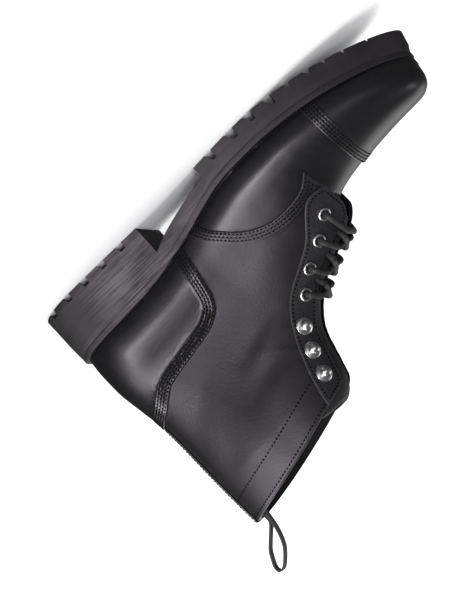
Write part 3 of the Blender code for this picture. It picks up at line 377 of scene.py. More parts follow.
@dataclass
class Last:
    """The upper's shape: sections that fan from the toe, round the heel, up to the collar.

    A place on it has a section s, from 0 at the toe to 20 at the collar, and a girth w, from 0
    on the centre line over 1 at the widest line to 2 at the lower edge or the back line.
    Girths on the medial side are negative. Sections from -1 to 0 close the nose.
    """

    sole: SoleShape
    back_x: float = 0.0052
    toe_x: float = 0.3012
    margin: float = 0.0012  # how far the upper stands inside the sole's edge
    tuck: float = 0.0036  # how far it draws in at the sole, over tuck_height
    tuck_height: float = 0.0150
    nose_bulge: float = 0.0009
    back_power: float = 2.15
    throat_section: float = 7.0
    collar_section: float = 20.0
    heel_section: float = 15.0
    shaft_heights: tuple[float, float] = (0.030, 0.105)  # where the foot turns into the shaft
    heel_stations: tuple[float, float] = (0.015, 0.048)  # where the heel's swell grows to full
    heel_share: float = 0.50  # share of the heel's swell at the very back
    waist_stations: tuple[float, float] = (0.080, 0.130)  # where it gives way to the vamp's swell
    toe_stations: tuple[float, float] = (0.205, 0.250)  # where the vamp's swell fades out
    throat_foot: float = 0.089  # height over which the throat opens

    def __post_init__(self) -> None:
        """Makes the section curves from their table."""
        names = ("top_x", "top_z", "bottom", "crown", "power", "arch")
        rows = [
            (0.3008, 0.0468, 0.3008, 0.0030, 2.1, 0.0), (0.2994, 0.0545, 0.2975, 0.0090, 2.2, 0.0),
            (0.2955, 0.0605, 0.2920, 0.0145, 2.3, 0.0), (0.2870, 0.0640, 0.2840, 0.0190, 2.4, 0.0),
            (0.2690, 0.0645, 0.2670, 0.0225, 2.45, 0.0), (0.2480, 0.0660, 0.2465, 0.0260, 2.4, 0.0),
            (0.2260, 0.0694, 0.2250, 0.0300, 2.25, 0.0), (0.2045, 0.0755, 0.2030, 0.0350, 2.1, 0.0),
            (0.1950, 0.0890, 0.1870, 0.0430, 2.0, 0.0), (0.1788, 0.0998, 0.1650, 0.0460, 2.0, 0.0),
            (0.1578, 0.1108, 0.1370, 0.0480, 2.0, 0.0), (0.1436, 0.1234, 0.1050, 0.0500, 2.0, 0.0),
            (0.1376, 0.1325, 0.0660, 0.0510, 2.0, 0.0), (0.1354, 0.1388, 0.0320, 0.0520, 2.0, 0.0),
            (0.1343, 0.1425, 0.0130, 0.0520, 2.0, 0.0), (0.1336, 0.1458, 0.0052, 0.0520, 2.0, 0.0),
            (0.1329, 0.1495, -0.0230, 0.0520, 2.0, 0.0),
            (0.1321, 0.1534, -0.0560, 0.0510, 2.0, 0.0003),
            (0.1310, 0.1573, -0.0890, 0.0500, 2.0, 0.0011),
            (0.1298, 0.1612, -0.1210, 0.0490, 2.0, 0.0024),
            (0.1282, 0.1650, -0.1510, 0.0480, 2.0, 0.0042)]
        self.section = {name: Curve([(i, row[k]) for i, row in enumerate(rows)])
                        for k, name in enumerate(names)}
        self.back_line = Curve([
            (0.038, 0.0052), (0.052, 0.0044), (0.067, 0.0047), (0.085, 0.0074), (0.105, 0.0107),
            (0.124, 0.0120), (0.155, 0.0128), (0.179, 0.0138), (0.200, 0.0152)])
        self.shaft_half = Curve([
            (0.040, 0.0335), (0.060, 0.0340), (0.080, 0.0345), (0.100, 0.0352), (0.120, 0.0365),
            (0.150, 0.0382), (0.175, 0.0386), (0.200, 0.0384)])
        self.back_reach = Curve([(0.040, 0.034), (0.080, 0.038), (0.120, 0.046), (0.160, 0.055),
                                 (0.200, 0.060)])
        # How far the sides swell or draw in, over their height above the sole.
        self.vamp_swell = Curve([
            (0.0, 0.0), (0.007, 0.0006), (0.014, 0.0010), (0.023, 0.0002), (0.034, -0.0018),
            (0.048, -0.0036), (0.066, -0.0042), (0.125, 0.0)])
        self.heel_swell = Curve([
            (0.0, 0.0), (0.009, 0.0010), (0.016, 0.0011), (0.025, -0.0002), (0.036, -0.0028),
            (0.050, -0.0047), (0.076, -0.0049), (0.125, 0.0)])
        self.facing_lift = Curve([(6, 0.0), (7, 0.0130), (8, 0.0056), (9, 0.0012), (10, 0.0)])
        self.arch_share = {1: 1.0, -1: 0.3}

    def throat_half(self, z: Array) -> Array:
        """Half of the opening between the two facings at a height."""
        return 0.0120 + 0.092 * np.maximum(0.0, z - self.throat_foot)

    def side_width(self, x: Array, z: Array, side: Array) -> Array:
        """Half width before the crown rounds it.

        Args:
            x: stations of places in the side view.
            z: their heights.
            side: the sign of Y at each.

        Returns:
            The half widths.
        """
        foot = (self.sole.half(x, side) - self.margin) * self.sole.toe_round(x, self.toe_x, side)
        blend = smoothstep(*self.shaft_heights, z)
        width = foot * (1 - blend) + self.shaft_half(z) * blend
        above_sole = z - self.sole.top(x)
        ahead = smoothstep(*self.waist_stations, x)
        rounding = self.heel_share + (1 - self.heel_share) * smoothstep(*self.heel_stations, x)
        calm = 1 - smoothstep(*self.toe_stations, x)
        width = width + self.vamp_swell(above_sole) * ahead * calm
        width = width + self.heel_swell(above_sole) * (1 - ahead) * rounding
        reach = self.back_reach(z)
        width = width * rounded((self.back_line(z) + reach - x) / reach, self.back_power)
        above = np.clip((above_sole - GAP) / self.tuck_height, 0.0, 1.0)
        tuck = self.tuck * (1 - np.sqrt(1 - (1 - above) ** 2))
        return width * (1 - tuck / self.sole.half(x, side))

    def outside(self, s: Array, w: Array, raised: bool) -> Array:
        """Points of the boot's outside.

        Args:
            s: sections.
            w: girths.
            raised: whether the facings stand clear of the vamp at the foot of the throat.

        Returns:
            (n, 3) points in stations.
        """
        s, w = np.broadcast_arrays(np.asarray(s, float), np.asarray(w, float))
        nose = np.clip(-s, 0.0, 1.0)
        s = np.maximum(s, 0.0)
        side = np.where(w >= 0, 1, -1)
        girth = np.abs(w)
        top_x, top_z = self.section["top_x"](s), self.section["top_z"](s)
        bottom = self.section["bottom"](s)
        on_back = bottom < self.back_x
        back_z = self.sole.top(self.back_x) + GAP + self.back_x - bottom
        low_x = np.where(on_back, self.back_line(back_z), bottom)
        low_z = np.where(on_back, back_z, self.sole.top(bottom) + GAP)
        length = np.hypot(top_x - low_x, top_z - low_z)
        crown = np.minimum(self.section["crown"](s), 0.75 * length)
        power = self.section["power"](s)
        arch = self.section["arch"](s) * np.where(side > 0, self.arch_share[1], self.arch_share[-1])
        angle = np.clip(girth, 0.0, 1.0) * math.pi / 2
        over_crown = crown * (1 - np.maximum(np.cos(angle), 0.0) ** (2 / power))
        down_side = crown + (length - crown) * np.sin(math.pi / 2 * np.clip(girth - 1, 0.0, 1.0))
        depth = np.where(girth <= 1, over_crown, down_side)
        t = depth / length
        x = top_x + (low_x - top_x) * t
        z = top_z + (low_z - top_z) * t + arch * 4 * t * (1 - t)
        rounding = np.where(girth <= 1, np.sin(angle) ** (2 / power), 1.0)
        width = self.side_width(x, z, side) * rounding
        width = np.where(on_back & (girth >= 2), 0.0, width)
        y = self.sole.centre(x) + side * width * (1 - nose)
        x = x + self.nose_bulge * (1 - (1 - nose) ** 2)
        if raised:
            z = z + self.facing_lift(s) * np.where(girth <= 1, np.cos(angle) ** 4, 0.0)
        return np.stack([x, y, z], axis=-1)

    def normal(self, s: Array, w: Array, raised: bool) -> Array:
        """Outward normals of the boot's outside.

        Args:
            s: sections.
            w: girths.
            raised: whether the facings stand clear of the vamp at the foot of the throat.

        Returns:
            (n, 3) unit vectors.
        """
        s, w = np.broadcast_arrays(np.asarray(s, float), np.asarray(w, float))
        ds, dw = 0.02, 0.006  # steps over which the slopes are taken
        ahead = self.outside(np.minimum(s + ds, self.collar_section), w, raised)
        behind = self.outside(np.maximum(s - ds, NOSE_SECTION), w, raised)
        more = self.outside(s, np.clip(w + dw, -2.0, 2.0), raised)
        less = self.outside(s, np.clip(w - dw, -2.0, 2.0), raised)
        normals = np.cross(more - less, ahead - behind)
        normals /= np.maximum(np.linalg.norm(normals, axis=-1, keepdims=True), TINY)
        girth = np.abs(w)
        # They level out at the sole's edge, and lie in the mirror plane where the form closes.
        normals[..., 2] *= np.where(s < self.heel_section, 1 - smoothstep(1.80, 2.0, girth), 1.0)
        closed = ((girth > CLOSED_GIRTH) & (s >= self.heel_section)) | (s < NOSE_SECTION + 0.001)
        normals[..., 1] = np.where(closed, 0.0, normals[..., 1])
        return normals / np.maximum(np.linalg.norm(normals, axis=-1, keepdims=True), TINY)

    def shell(self, s: Array, w: Array, offset: Array | float, raised: bool = False) -> Array:
        """Points over the upper's own outer face, which lies under the panels.

        Args:
            s: sections.
            w: girths.
            offset: height over that face.
            raised: whether the facings stand clear of the vamp at the foot of the throat.

        Returns:
            (n, 3) points in stations.
        """
        points = self.outside(s, w, raised)
        give = sum(fold.press(points[..., 0], points[..., 2]) for fold in FOLDS)
        offset = np.asarray(offset, float) - PANEL_TOP - give
        return points + self.normal(s, w, raised) * offset[..., None]

    def find(self, x: float, z: float, side: Side, raised: bool = True) -> tuple[float, float]:
        """The section and girth of a place in the side view.

        Args:
            x: station of the place.
            z: height of the place.
            side: which side it is on.
            raised: whether it is on the raised facings.

        Returns:
            Section s and girth w.
        """
        s_grid, w_grid = np.meshgrid(np.linspace(6.5, self.collar_section, 90),
                                     np.linspace(0.05, 1.95, 80) * side.value)
        points = self.shell(s_grid, w_grid, COVER_TOP, raised)
        miss = np.hypot(points[..., 0] - x, points[..., 2] - z)
        pick = np.unravel_index(np.argmin(miss), miss.shape)
        s, w = float(s_grid[pick]), float(w_grid[pick])
        step = 1e-4
        for _ in range(12):
            here = self.shell(s, w, COVER_TOP, raised)
            by_s = (self.shell(s + step, w, COVER_TOP, raised) - here) / step
            by_w = (self.shell(s, w + step, COVER_TOP, raised) - here) / step
            system = np.array([[by_s[0], by_w[0]], [by_s[2], by_w[2]]])
            change = np.linalg.solve(system, np.array([x - here[0], z - here[2]]))
            s, w = s + float(change[0]), w + float(change[1])
        return s, w

    def crown_girth(self, s: Array, half: Array) -> Array:
        """The girths at which sections reach a half width near their crowns.

        Args:
            s: sections.
            half: half widths.

        Returns:
            The girths, from 0 to 1.
        """
        low, high = np.zeros_like(half), np.ones_like(half)
        centre = self.sole.centre(self.section["top_x"](s))
        for _ in range(24):
            middle = (low + high) / 2
            narrow = np.abs(self.outside(s, middle, False)[..., 1] - centre) < half
            low, high = np.where(narrow, middle, low), np.where(narrow, high, middle)
        return (low + high) / 2


# ---- patches
SNAP = 0.00005  # values nearer a cut's level than this are moved onto it


class Patch:
    """A triangulated region of the last, with values at its points, that can be cut along them."""

    def __init__(self, s: Array, w: Array, faces: Array) -> None:
        """Keeps the region's points and triangles.

        Args:
            s: sections of the points.
            w: girths of the points.
            faces: (n, 3) indices.
        """
        self.s, self.w, self.faces = s, w, faces
        self.values: dict[str, Array] = {}

    def split(self, name: str, level: float) -> None:
        """Cuts the triangles along a line.

        Args:
            name: the value that the line follows.
            level: the value's level on the line.
        """
        value = self.values[name]
        value[np.abs(value - level) < SNAP] = level
        above = np.sign(value - level)
        corner = above[self.faces]
        cut = (corner.min(axis=1) < 0) & (corner.max(axis=1) > 0)
        keep = [self.faces[~cut]]
        columns = [self.s, self.w] + list(self.values.values())
        fresh: dict[tuple[int, int], int] = {}
        starts, ends, shares = [], [], []
        count = len(self.s)
        made = []
        for face in self.faces[cut]:
            low, high = [], []
            for k in range(3):
                a, b = int(face[k]), int(face[(k + 1) % 3])
                if above[a] <= 0:
                    low.append(a)
                if above[a] >= 0:
                    high.append(a)
                if above[a] * above[b] < 0:
                    key = (min(a, b), max(a, b))
                    if key not in fresh:
                        fresh[key] = count + len(fresh)
                        starts.append(key[0])
                        ends.append(key[1])
                        first, second = value[key[0]] - level, value[key[1]] - level
                        shares.append(first / (first - second))
                    low.append(fresh[key])
                    high.append(fresh[key])
            for ring in (low, high):
                made += [(ring[0], ring[k], ring[k + 1]) for k in range(1, len(ring) - 1)]
        if not made:
            return
        starts, ends, shares = np.array(starts), np.array(ends), np.array(shares)
        columns = [np.concatenate([column, column[starts] * (1 - shares) + column[ends] * shares])
                   for column in columns]
        self.s, self.w = columns[0], columns[1]
        self.values = dict(zip(self.values, columns[2:]))
        self.values[name][count:] = level
        self.faces = np.vstack(keep + [np.array(made)])

    def keep(self, name: str, level: float = 0.0) -> None:
        """Keeps only the triangles that lie below a level.

        Args:
            name: the value that is looked at.
            level: the level.
        """
        middle = self.values[name][self.faces].mean(axis=1)
        self.faces = self.faces[middle < level]
        used = np.unique(self.faces)
        index = np.full(len(self.s), -1)
        index[used] = np.arange(len(used))
        self.faces = index[self.faces]
        self.s, self.w = self.s[used], self.w[used]
        self.values = {key: value[used] for key, value in self.values.items()}

    def line(self, name: str, level: float) -> list[Array]:
        """The lines of edges where a value has a level.

        Args:
            name: the value.
            level: its level, along which the patch has been split.

        Returns:
            A list of (n, 2) arrays of sections and girths, each an unbroken line.
        """
        on = np.abs(self.values[name] - level) < 1e-9
        edges = set()
        for a, b, c in self.faces:
            for p, q in ((a, b), (b, c), (c, a)):
                if on[p] and on[q]:
                    edges.add((min(p, q), max(p, q)))
        beside: dict[int, list[int]] = {}
        for a, b in edges:
            beside.setdefault(a, []).append(b)
            beside.setdefault(b, []).append(a)
        lines, done = [], set()
        ends = [p for p, near in beside.items() if len(near) == 1] + list(beside)
        for start in ends:
            if start in done:
                continue
            line, here = [start], start
            done.add(start)
            while True:
                onward = [p for p in beside[here] if p not in done]
                if not onward:
                    break
                here = onward[0]
                done.add(here)
                line.append(here)
            if len(line) > 2:
                lines.append(np.stack([self.s[line], self.w[line]], axis=1))
        return lines

    def border(self) -> Array:
        """Edges that one triangle alone has, in that triangle's direction."""
        edges = np.vstack([self.faces[:, [0, 1]], self.faces[:, [1, 2]], self.faces[:, [2, 0]]])
        key = np.sort(edges, axis=1)
        _, where, counts = np.unique(key, axis=0, return_index=True, return_counts=True)
        return edges[where[counts == 1]]


def last_grid() -> Patch:
    """The whole last as a grid, finest at the toe, over the throat and behind the heel.

    Returns:
        A patch without values.
    """
    nose = [NOSE_SECTION, -0.7, -0.35, 0.0]
    toe = 3 * (np.arange(1, 17) / 16) ** 1.5
    heel = 15 - (np.arange(10, 0, -1) / 10) ** 2
    s = np.concatenate([nose, toe, np.arange(3.125, 7.0, 0.125), np.arange(7.0, 14.0, 0.1), heel,
                        np.arange(15.0, 20.001, 0.1)])
    half = np.concatenate([np.linspace(0, 1, 25), np.linspace(1, 2, 27)[1:]])
    w = np.concatenate([-half[:0:-1], half])
    rows, columns = len(s), len(w)
    i, j = np.meshgrid(np.arange(rows - 1), np.arange(columns - 1), indexing="ij")
    a = (i * columns + j).ravel()
    b, c, d = a + 1, a + columns + 1, a + columns
    left = (j.ravel() < columns // 2)[:, None]  # the diagonals mirror each other
    one = np.where(left, np.stack([a, b, c], 1), np.stack([a, b, d], 1))
    two = np.where(left, np.stack([a, c, d], 1), np.stack([b, c, d], 1))
    faces = np.vstack([one, two])[:, ::-1].copy()
    return Patch(np.repeat(s, columns), np.tile(w, rows), faces)


# ---- meshes
@contextmanager
def edited(mesh: Mesh) -> Iterator[bmesh.types.BMesh]:
    """Opens a mesh for editing and writes it back."""
    work = bmesh.new()
    work.from_mesh(mesh)
    yield work
    work.to_mesh(mesh)
    work.free()


def linked(name: str, data: bpy.types.ID) -> Object:
    """A new object in the scene."""
    item = bpy.data.objects.new(name, data)
    bpy.context.scene.collection.objects.link(item)
    return item


def apply_modifiers(item: Object) -> None:
    """Makes what an object's modifiers show its mesh."""
    graph = bpy.context.evaluated_depsgraph_get()
    mesh = bpy.data.meshes.new_from_object(item.evaluated_get(graph))
    item.modifiers.clear()
    item.data = mesh


def grid_faces(rows: int, columns: int, round_rows: bool = False, round_columns: bool = False,
               first: int = 0) -> list[tuple[int, ...]]:
    """Four-sided faces between points that are numbered row by row.

    Args:
        rows: rows of points.
        columns: points in each row.
        round_rows: whether the last row joins the first.
        round_columns: whether each row's last point joins its first.
        first: number of the first point.

    Returns:
        Corner indices of each face.
    """
    faces = []
    for i in range(rows if round_rows else rows - 1):
        a, b = first + i * columns, first + (i + 1) % rows * columns
        for j in range(columns if round_columns else columns - 1):
            n = (j + 1) % columns
            faces.append((a + j, a + n, b + n, b + j))
    return faces


def finished(name: str, mesh: Mesh, material: Material, angle: float = 32.0) -> Object:
    """Links a mesh as a smooth-shaded piece at the origin of the frame.

    Args:
        name: the piece's name.
        mesh: its mesh, in the frame's coordinates.
        material: its finish.
        angle: edges sharper than this, in degrees, stay sharp.

    Returns:
        The object.
    """
    mesh.materials.clear()
    mesh.materials.append(material)
    for face in mesh.polygons:
        face.material_index = 0
    mesh.shade_smooth()
    mesh.set_sharp_from_angle(angle=math.radians(angle))
    return linked(name, mesh)


def make_mesh(name: str, points: Array, faces: Sequence[Sequence[int]], weld: float = 2e-6,
              values: dict[str, Array] | None = None) -> Mesh:
    """A mesh from points in stations, moved into the frame.

    Args:
        name: the mesh's name.
        points: (n, 3) points in stations.
        faces: corner indices of each face.
        weld: points nearer than this become one.
        values: float attributes of the points.

    Returns:
        The mesh, with its faces turned out.
    """
    mesh = bpy.data.meshes.new(name)
    shifted = np.asarray(points, float) - (ORIGIN_STATION, 0.0, 0.0)
    mesh.from_pydata(shifted.tolist(), [], [tuple(map(int, face)) for face in faces])
    for key, value in (values or {}).items():
        layer = mesh.attributes.new(key, "FLOAT", "POINT")
        layer.data.foreach_set("value", value.astype(np.float32))
    with edited(mesh) as work:
        bmesh.ops.remove_doubles(work, verts=work.verts, dist=weld)
        bmesh.ops.dissolve_degenerate(work, edges=work.edges, dist=1e-7)
        loose = [vertex for vertex in work.verts if not vertex.link_faces]
        bmesh.ops.delete(work, geom=loose, context="VERTS")
        bmesh.ops.recalc_face_normals(work, faces=work.faces)
    return mesh


def cross_directions(path: Array) -> tuple[Array, Array]:
    """Two directions across a path that don't twist along it.

    Args:
        path: (n, 3) points.

    Returns:
        The first and the second direction at each point, each (n, 3).
    """
    tangents = np.gradient(path, axis=0)
    tangents /= np.maximum(np.linalg.norm(tangents, axis=1, keepdims=True), TINY)
    first = np.array((0.0, 0.0, 1.0))
    firsts = []
    for tangent in tangents:
        first = first - tangent * (first @ tangent)
        first = first / np.linalg.norm(first)
        firsts.append(first)
    return np.array(firsts), np.cross(tangents, firsts)


def tube_mesh(name: str, path: Array, radius: float, sides: int) -> Mesh:
    """A closed tube along a path, with a UV map that runs along and round it in metres.

    Args:
        name: the mesh's name.
        path: (n, 3) points in stations.
        radius: its radius.
        sides: corners round it.

    Returns:
        The mesh.
    """
    first, second = cross_directions(path)
    run = run_along(path)
    turn = 2 * math.pi * np.arange(sides)[None, :, None] / sides
    ring = np.cos(turn) * first[:, None, :] + np.sin(turn) * second[:, None, :]
    points = (path[:, None, :] + ring * radius).reshape(-1, 3)
    count = len(path)
    last = (count - 1) * sides
    faces = grid_faces(count, sides, round_columns=True)
    faces += [tuple(range(sides))[::-1], tuple(range(last, last + sides))]
    corners = []
    for u0, u1 in zip(run, run[1:]):
        for k in range(sides):
            v0, v1 = k / sides, (k + 1) / sides
            corners += [(u0, v0), (u0, v1), (u1, v1), (u1, v0)]
    corners += [(run[0], 0.0)] * sides + [(run[-1], 0.0)] * sides
    mesh = bpy.data.meshes.new(name)
    mesh.from_pydata((points - (ORIGIN_STATION, 0.0, 0.0)).tolist(), [], faces)
    mesh.uv_layers.new(name="run").data.foreach_set("uv", np.array(corners, np.float32).ravel())
    return mesh


# ---- shader maths
class Value:
    """A number that varies over a surface: a socket that Python's operators work on."""

    def __init__(self, shader: Shader, socket: NodeSocket) -> None:
        """Wraps an output socket of a shader's tree."""
        self.shader, self.socket = shader, socket

    def _math(self, operation: str, other: Value | float | None = None,
              swap: bool = False) -> Value:
        """One Math node.

        Args:
            operation: what it does.
            other: the second operand, where it has one.
            swap: whether the operands change places.

        Returns:
            The result.
        """
        inputs = {0: self} if other is None else {int(swap): self, int(not swap): other}
        return self.shader.node("ShaderNodeMath", {"operation": operation}, inputs).out()

    def __add__(self, other: Value | float) -> Value:
        """Sum."""
        return self._math("ADD", other)

    __radd__ = __add__

    def __sub__(self, other: Value | float) -> Value:
        """Difference."""
        return self._math("SUBTRACT", other)

    def __rsub__(self, other: Value | float) -> Value:
        """Difference from a number."""
        return self._math("SUBTRACT", other, swap=True)

    def __mul__(self, other: Value | float) -> Value:
        """Product."""
        return self._math("MULTIPLY", other)

    __rmul__ = __mul__

    def __truediv__(self, other: Value | float) -> Value:
        """Quotient."""
        return self._math("DIVIDE", other)

    def sine(self) -> Value:
        """Sine."""
        return self._math("SINE")

    def step(self, low: float, high: float) -> Value:
        """A soft step.

        Args:
            low: where it is 0.
            high: where it is 1; this may be the smaller of the two.

        Returns:
            The step.
        """
        inputs = {0: self, 1: min(low, high), 2: max(low, high)}
        settings = {"interpolation_type": "SMOOTHSTEP"}
        rising = self.shader.node("ShaderNodeMapRange", settings, inputs).out()
        return rising if low < high else 1 - rising


class Node:
    """A shader node whose outputs are read by name or number."""

    def __init__(self, shader: Shader, node: bpy.types.Node) -> None:
        """Wraps a node of a shader's tree."""
        self.shader, self.node = shader, node

    def out(self, name: str | int = 0) -> Value:
        """One of its outputs."""
        return Value(self.shader, self.node.outputs[name])


class Shader:
    """One material's node tree, around a Principled BSDF."""

    def __init__(self, name: str) -> None:
        """Makes the material."""
        self.material = bpy.data.materials.new(name)
        self.material.use_nodes = True
        self.tree = self.material.node_tree
        self.surface = self.tree.nodes["Principled BSDF"]

    def node(self, kind: str, settings: dict | None = None, inputs: dict | None = None) -> Node:
        """Adds a node.

        Args:
            kind: its type.
            settings: its properties, which are set first.
            inputs: values or links of its sockets, by name or number.

        Returns:
            The node.
        """
        made = self.tree.nodes.new(kind)
        for key, value in (settings or {}).items():
            setattr(made, key, value)
        for key, value in (inputs or {}).items():
            self._feed(made.inputs[key], value)
        return Node(self, made)

    def _feed(self, socket: NodeSocket, value: object) -> None:
        """Links or sets one socket.

        Args:
            socket: the socket.
            value: a value to link, or a number or colour to set.
        """
        if isinstance(value, Value):
            self.tree.links.new(value.socket, socket)
        elif isinstance(value, tuple) and len(value) == 3 and socket.type == "RGBA":
            socket.default_value = (*value, 1.0)
        else:
            socket.default_value = value

    def set(self, **sockets: object) -> None:
        """Sets or links sockets of the Principled BSDF; underscores stand for spaces."""
        for key, value in sockets.items():
            self._feed(self.surface.inputs[key.replace("_", " ")], value)

    def place(self) -> Value:
        """Object coordinates."""
        return self.node("ShaderNodeTexCoord").out("Object")

    def run(self) -> tuple[Value, Value]:
        """The two UV coordinates as numbers."""
        uv = self.node("ShaderNodeUVMap", {"uv_map": "run"}).out()
        parts = self.node("ShaderNodeSeparateXYZ", None, {0: uv})
        return parts.out("X"), parts.out("Y")

    def attribute(self, name: str) -> Value:
        """A float attribute of the mesh."""
        return self.node("ShaderNodeAttribute", {"attribute_name": name}).out("Fac")

    def stretched(self, where: Value, scale: tuple[float, float, float]) -> Value:
        """A place scaled along each axis."""
        inputs = {"Vector": where, "Scale": scale}
        return self.node("ShaderNodeMapping", {"vector_type": "POINT"}, inputs).out()

    def noise(self, where: Value, scale: float, detail: float = 2.0,
              roughness: float = 0.5) -> Value:
        """A noise from 0 to 1.

        Args:
            where: the place.
            scale: waves in a metre.
            detail: how many finer noises are added.
            roughness: how strong those are.

        Returns:
            The noise.
        """
        inputs = {"Vector": where, "Scale": scale, "Detail": detail, "Roughness": roughness}
        return self.node("ShaderNodeTexNoise", {"noise_dimensions": "3D"}, inputs).out(0)

    def cells(self, where: Value, scale: float) -> Value:
        """Distance in a field of soft cells."""
        inputs = {"Vector": where, "Scale": scale}
        return self.node("ShaderNodeTexVoronoi", {"feature": "SMOOTH_F1"}, inputs).out(0)

    def mix(self, share: Value | float, first: object, second: object) -> Value:
        """A colour between two."""
        settings = {"data_type": "RGBA", "blend_type": "MIX"}
        return self.node("ShaderNodeMix", settings, {0: share, 6: first, 7: second}).out(2)

    def bump(self, height: Value, distance: float) -> None:
        """Feeds a height, from 0 to 1 over a distance in metres, to the normal."""
        inputs = {"Strength": 1.0, "Distance": distance, "Height": height}
        self.set(Normal=self.node("ShaderNodeBump", None, inputs).out())


# ---- finishes
Colour = tuple[float, float, float]
SHEEN_TINT: Colour = (0.96, 0.90, 1.0)  # polish and handling leave a faint plum cast
LINING: Colour = (0.0030, 0.0030, 0.0032)


def scaled(colour: Colour, factor: float, lift: float = 0.0) -> Colour:
    """A colour made brighter or darker."""
    return tuple(factor * part + lift for part in colour)


@dataclass(frozen=True)
class Leather:
    """Black leather with grain, soft random changes of tone and a painted highlight along its cut
    edge.
    """

    name: str
    colour: Colour
    worn: Colour
    roughness: float
    grain: float = 0.0011  # size of the pebbles in metres
    depth: float = 0.00006  # and their height
    coat: float = 0.0
    rows: tuple[float, ...] = ()  # stitch rows, in millimetres from the panel's edge
    # share of the painted highlight along the cut edge
    edge_highlight: float = 0.12
    specular: float = 0.36

    def material(self) -> Material:
        """Builds the finish."""
        shader = Shader(self.name)
        where = shader.place()
        bend = shader.noise(where, 0.35 / self.grain)
        pebble = shader.cells(where, 1 / self.grain)
        pores = shader.noise(where, 2.6 / self.grain, 2.0, 0.6)
        clouds = shader.noise(where, 34.0, 3.0, 0.55)
        broad = shader.noise(where, 11.0)
        cut = shader.attribute("edge_mm").step(1.0, 0.15)
        lining = shader.attribute("lining")
        shade = shader.mix(clouds * 0.6 + broad * 0.6 - 0.1, self.colour, self.worn)
        # painted highlight: the cut edge is mixed toward a lighter grey
        shade = shader.mix(cut * self.edge_highlight, shade, scaled(self.worn, 3.2, 0.012))
        base = self.roughness - 0.13  # the mean of what the noises add to it
        shader.set(Base_Color=shader.mix(lining, shade, LINING))
        shader.set(Roughness=clouds * 0.16 + pores * 0.10 + base + lining * 0.4)
        shader.set(Coat_Weight=(1 - lining) * self.coat, Coat_Roughness=0.22)
        shader.set(Specular_IOR_Level=self.specular, Specular_Tint=SHEEN_TINT)
        shader.bump(pebble * 0.8 + pores * 0.35 + bend * 0.3, self.depth)
        return shader.material


@dataclass(frozen=True)
class Rubber:
    """Matt moulded rubber with faint level streaks on its walls, greyed by painted light."""

    name: str
    colour: Colour
    # the lighter grey of the streaks and clouds, which the painted light also mixes toward
    dusty_and_lit: Colour
    roughness: float = 0.62
    painted_light_rear: tuple[float, float] = (-0.020, 0.012)  # X where the painted light begins
    painted_light_front: tuple[float, float] = (0.175, 0.060)  # X where the painted light has ended, and where it starts to fade
    heel_streaks: tuple[float, float] = (0.090, 0.030)

    def material(self) -> Material:
        """Builds the finish."""
        shader = Shader(self.name)
        where = shader.place()
        along = shader.node("ShaderNodeSeparateXYZ", None, {0: where}).out("X")
        # painted light: the walls are greyed most from the heel's front to the waist, and less
        # toward the back and the toe
        painted_light_share = along.step(*self.painted_light_rear) * along.step(*self.painted_light_front) * 0.85 + 0.15
        level = shader.stretched(where, (30.0, 30.0, 820.0))
        streak = shader.noise(level, 1.0, 2.0, 0.6).step(0.36, 0.68)
        clouds = shader.noise(where, 45.0, 3.0, 0.6).step(0.30, 0.70)
        fine = shader.noise(where, 2600.0, 2.0, 0.6)
        streaks = streak * (along.step(*self.heel_streaks) * 0.45 + 0.15)
        # streaks and clouds grey the rubber, scaled by the painted light
        tone = (streaks + clouds * 0.4) * painted_light_share
        shader.set(Base_Color=shader.mix(tone, self.colour, self.dusty_and_lit))
        shader.set(Roughness=clouds * 0.14 + fine * 0.08 + (self.roughness - 0.1))
        shader.set(Specular_IOR_Level=0.3, Specular_Tint=SHEEN_TINT)
        shader.bump(fine * 0.6 + streak * 0.4, 0.00006)
        return shader.material


@dataclass(frozen=True)
class Metal:
    """Bright plated metal with fine scratches."""

    name: str
    colour: Colour
    roughness: float = 0.29

    def material(self) -> Material:
        """Builds the finish."""
        shader = Shader(self.name)
        where = shader.place()
        lengthwise = shader.stretched(where, (900.0, 260.0, 2400.0))
        scratch = shader.noise(lengthwise, 1.0, 2.0, 0.6)
        stain = shader.noise(where, 420.0)
        dull = shader.mix(stain.step(0.35, 0.75) * 0.5, self.colour, scaled(self.colour, 0.62))
        shader.set(Base_Color=dull, Metallic=1.0)
        shader.set(Roughness=scratch * 0.12 + stain * 0.10 + (self.roughness - 0.09))
        return shader.material


@dataclass(frozen=True)
class Woven:
    """Threads that cross, with loose fibres over them."""

    name: str
    colour: Colour
    sheen: Colour

    def _dressed(self, shader: Shader, weave: Value, fibre: Value, share: float,
                 depth: float) -> Material:
        """Colours and embosses the weave.

        Args:
            shader: the finish's shader.
            weave: the weave's height, from 0 to 1.
            fibre: the fibres, from 0 to 1.
            share: the weave's share of the colour.
            depth: the weave's depth in metres.

        Returns:
            The material.
        """
        tone = weave * share + fibre * (1 - share)
        shader.set(Base_Color=shader.mix(tone, self.colour, self.sheen))
        shader.bump(weave * 0.8 + fibre * 0.2, depth)
        return shader.material


@dataclass(frozen=True)
class Braid(Woven):
    """A round braided cord, whose strands cross in a herringbone along its run."""

    pitch: float = 0.0024
    strands: int = 8

    def material(self) -> Material:
        """Builds the finish."""
        shader = Shader(self.name)
        along, around = shader.run()
        turns = along / self.pitch
        one = ((turns + around * self.strands) * (2 * math.pi)).sine()
        two = ((turns - around * self.strands) * (2 * math.pi)).sine()
        fibre = shader.noise(shader.place(), 5200.0, 2.0, 0.7)
        shader.set(Roughness=fibre * 0.15 + 0.62)
        return self._dressed(shader, (one * two) * 0.5 + 0.5, fibre, 0.7, 0.00022)


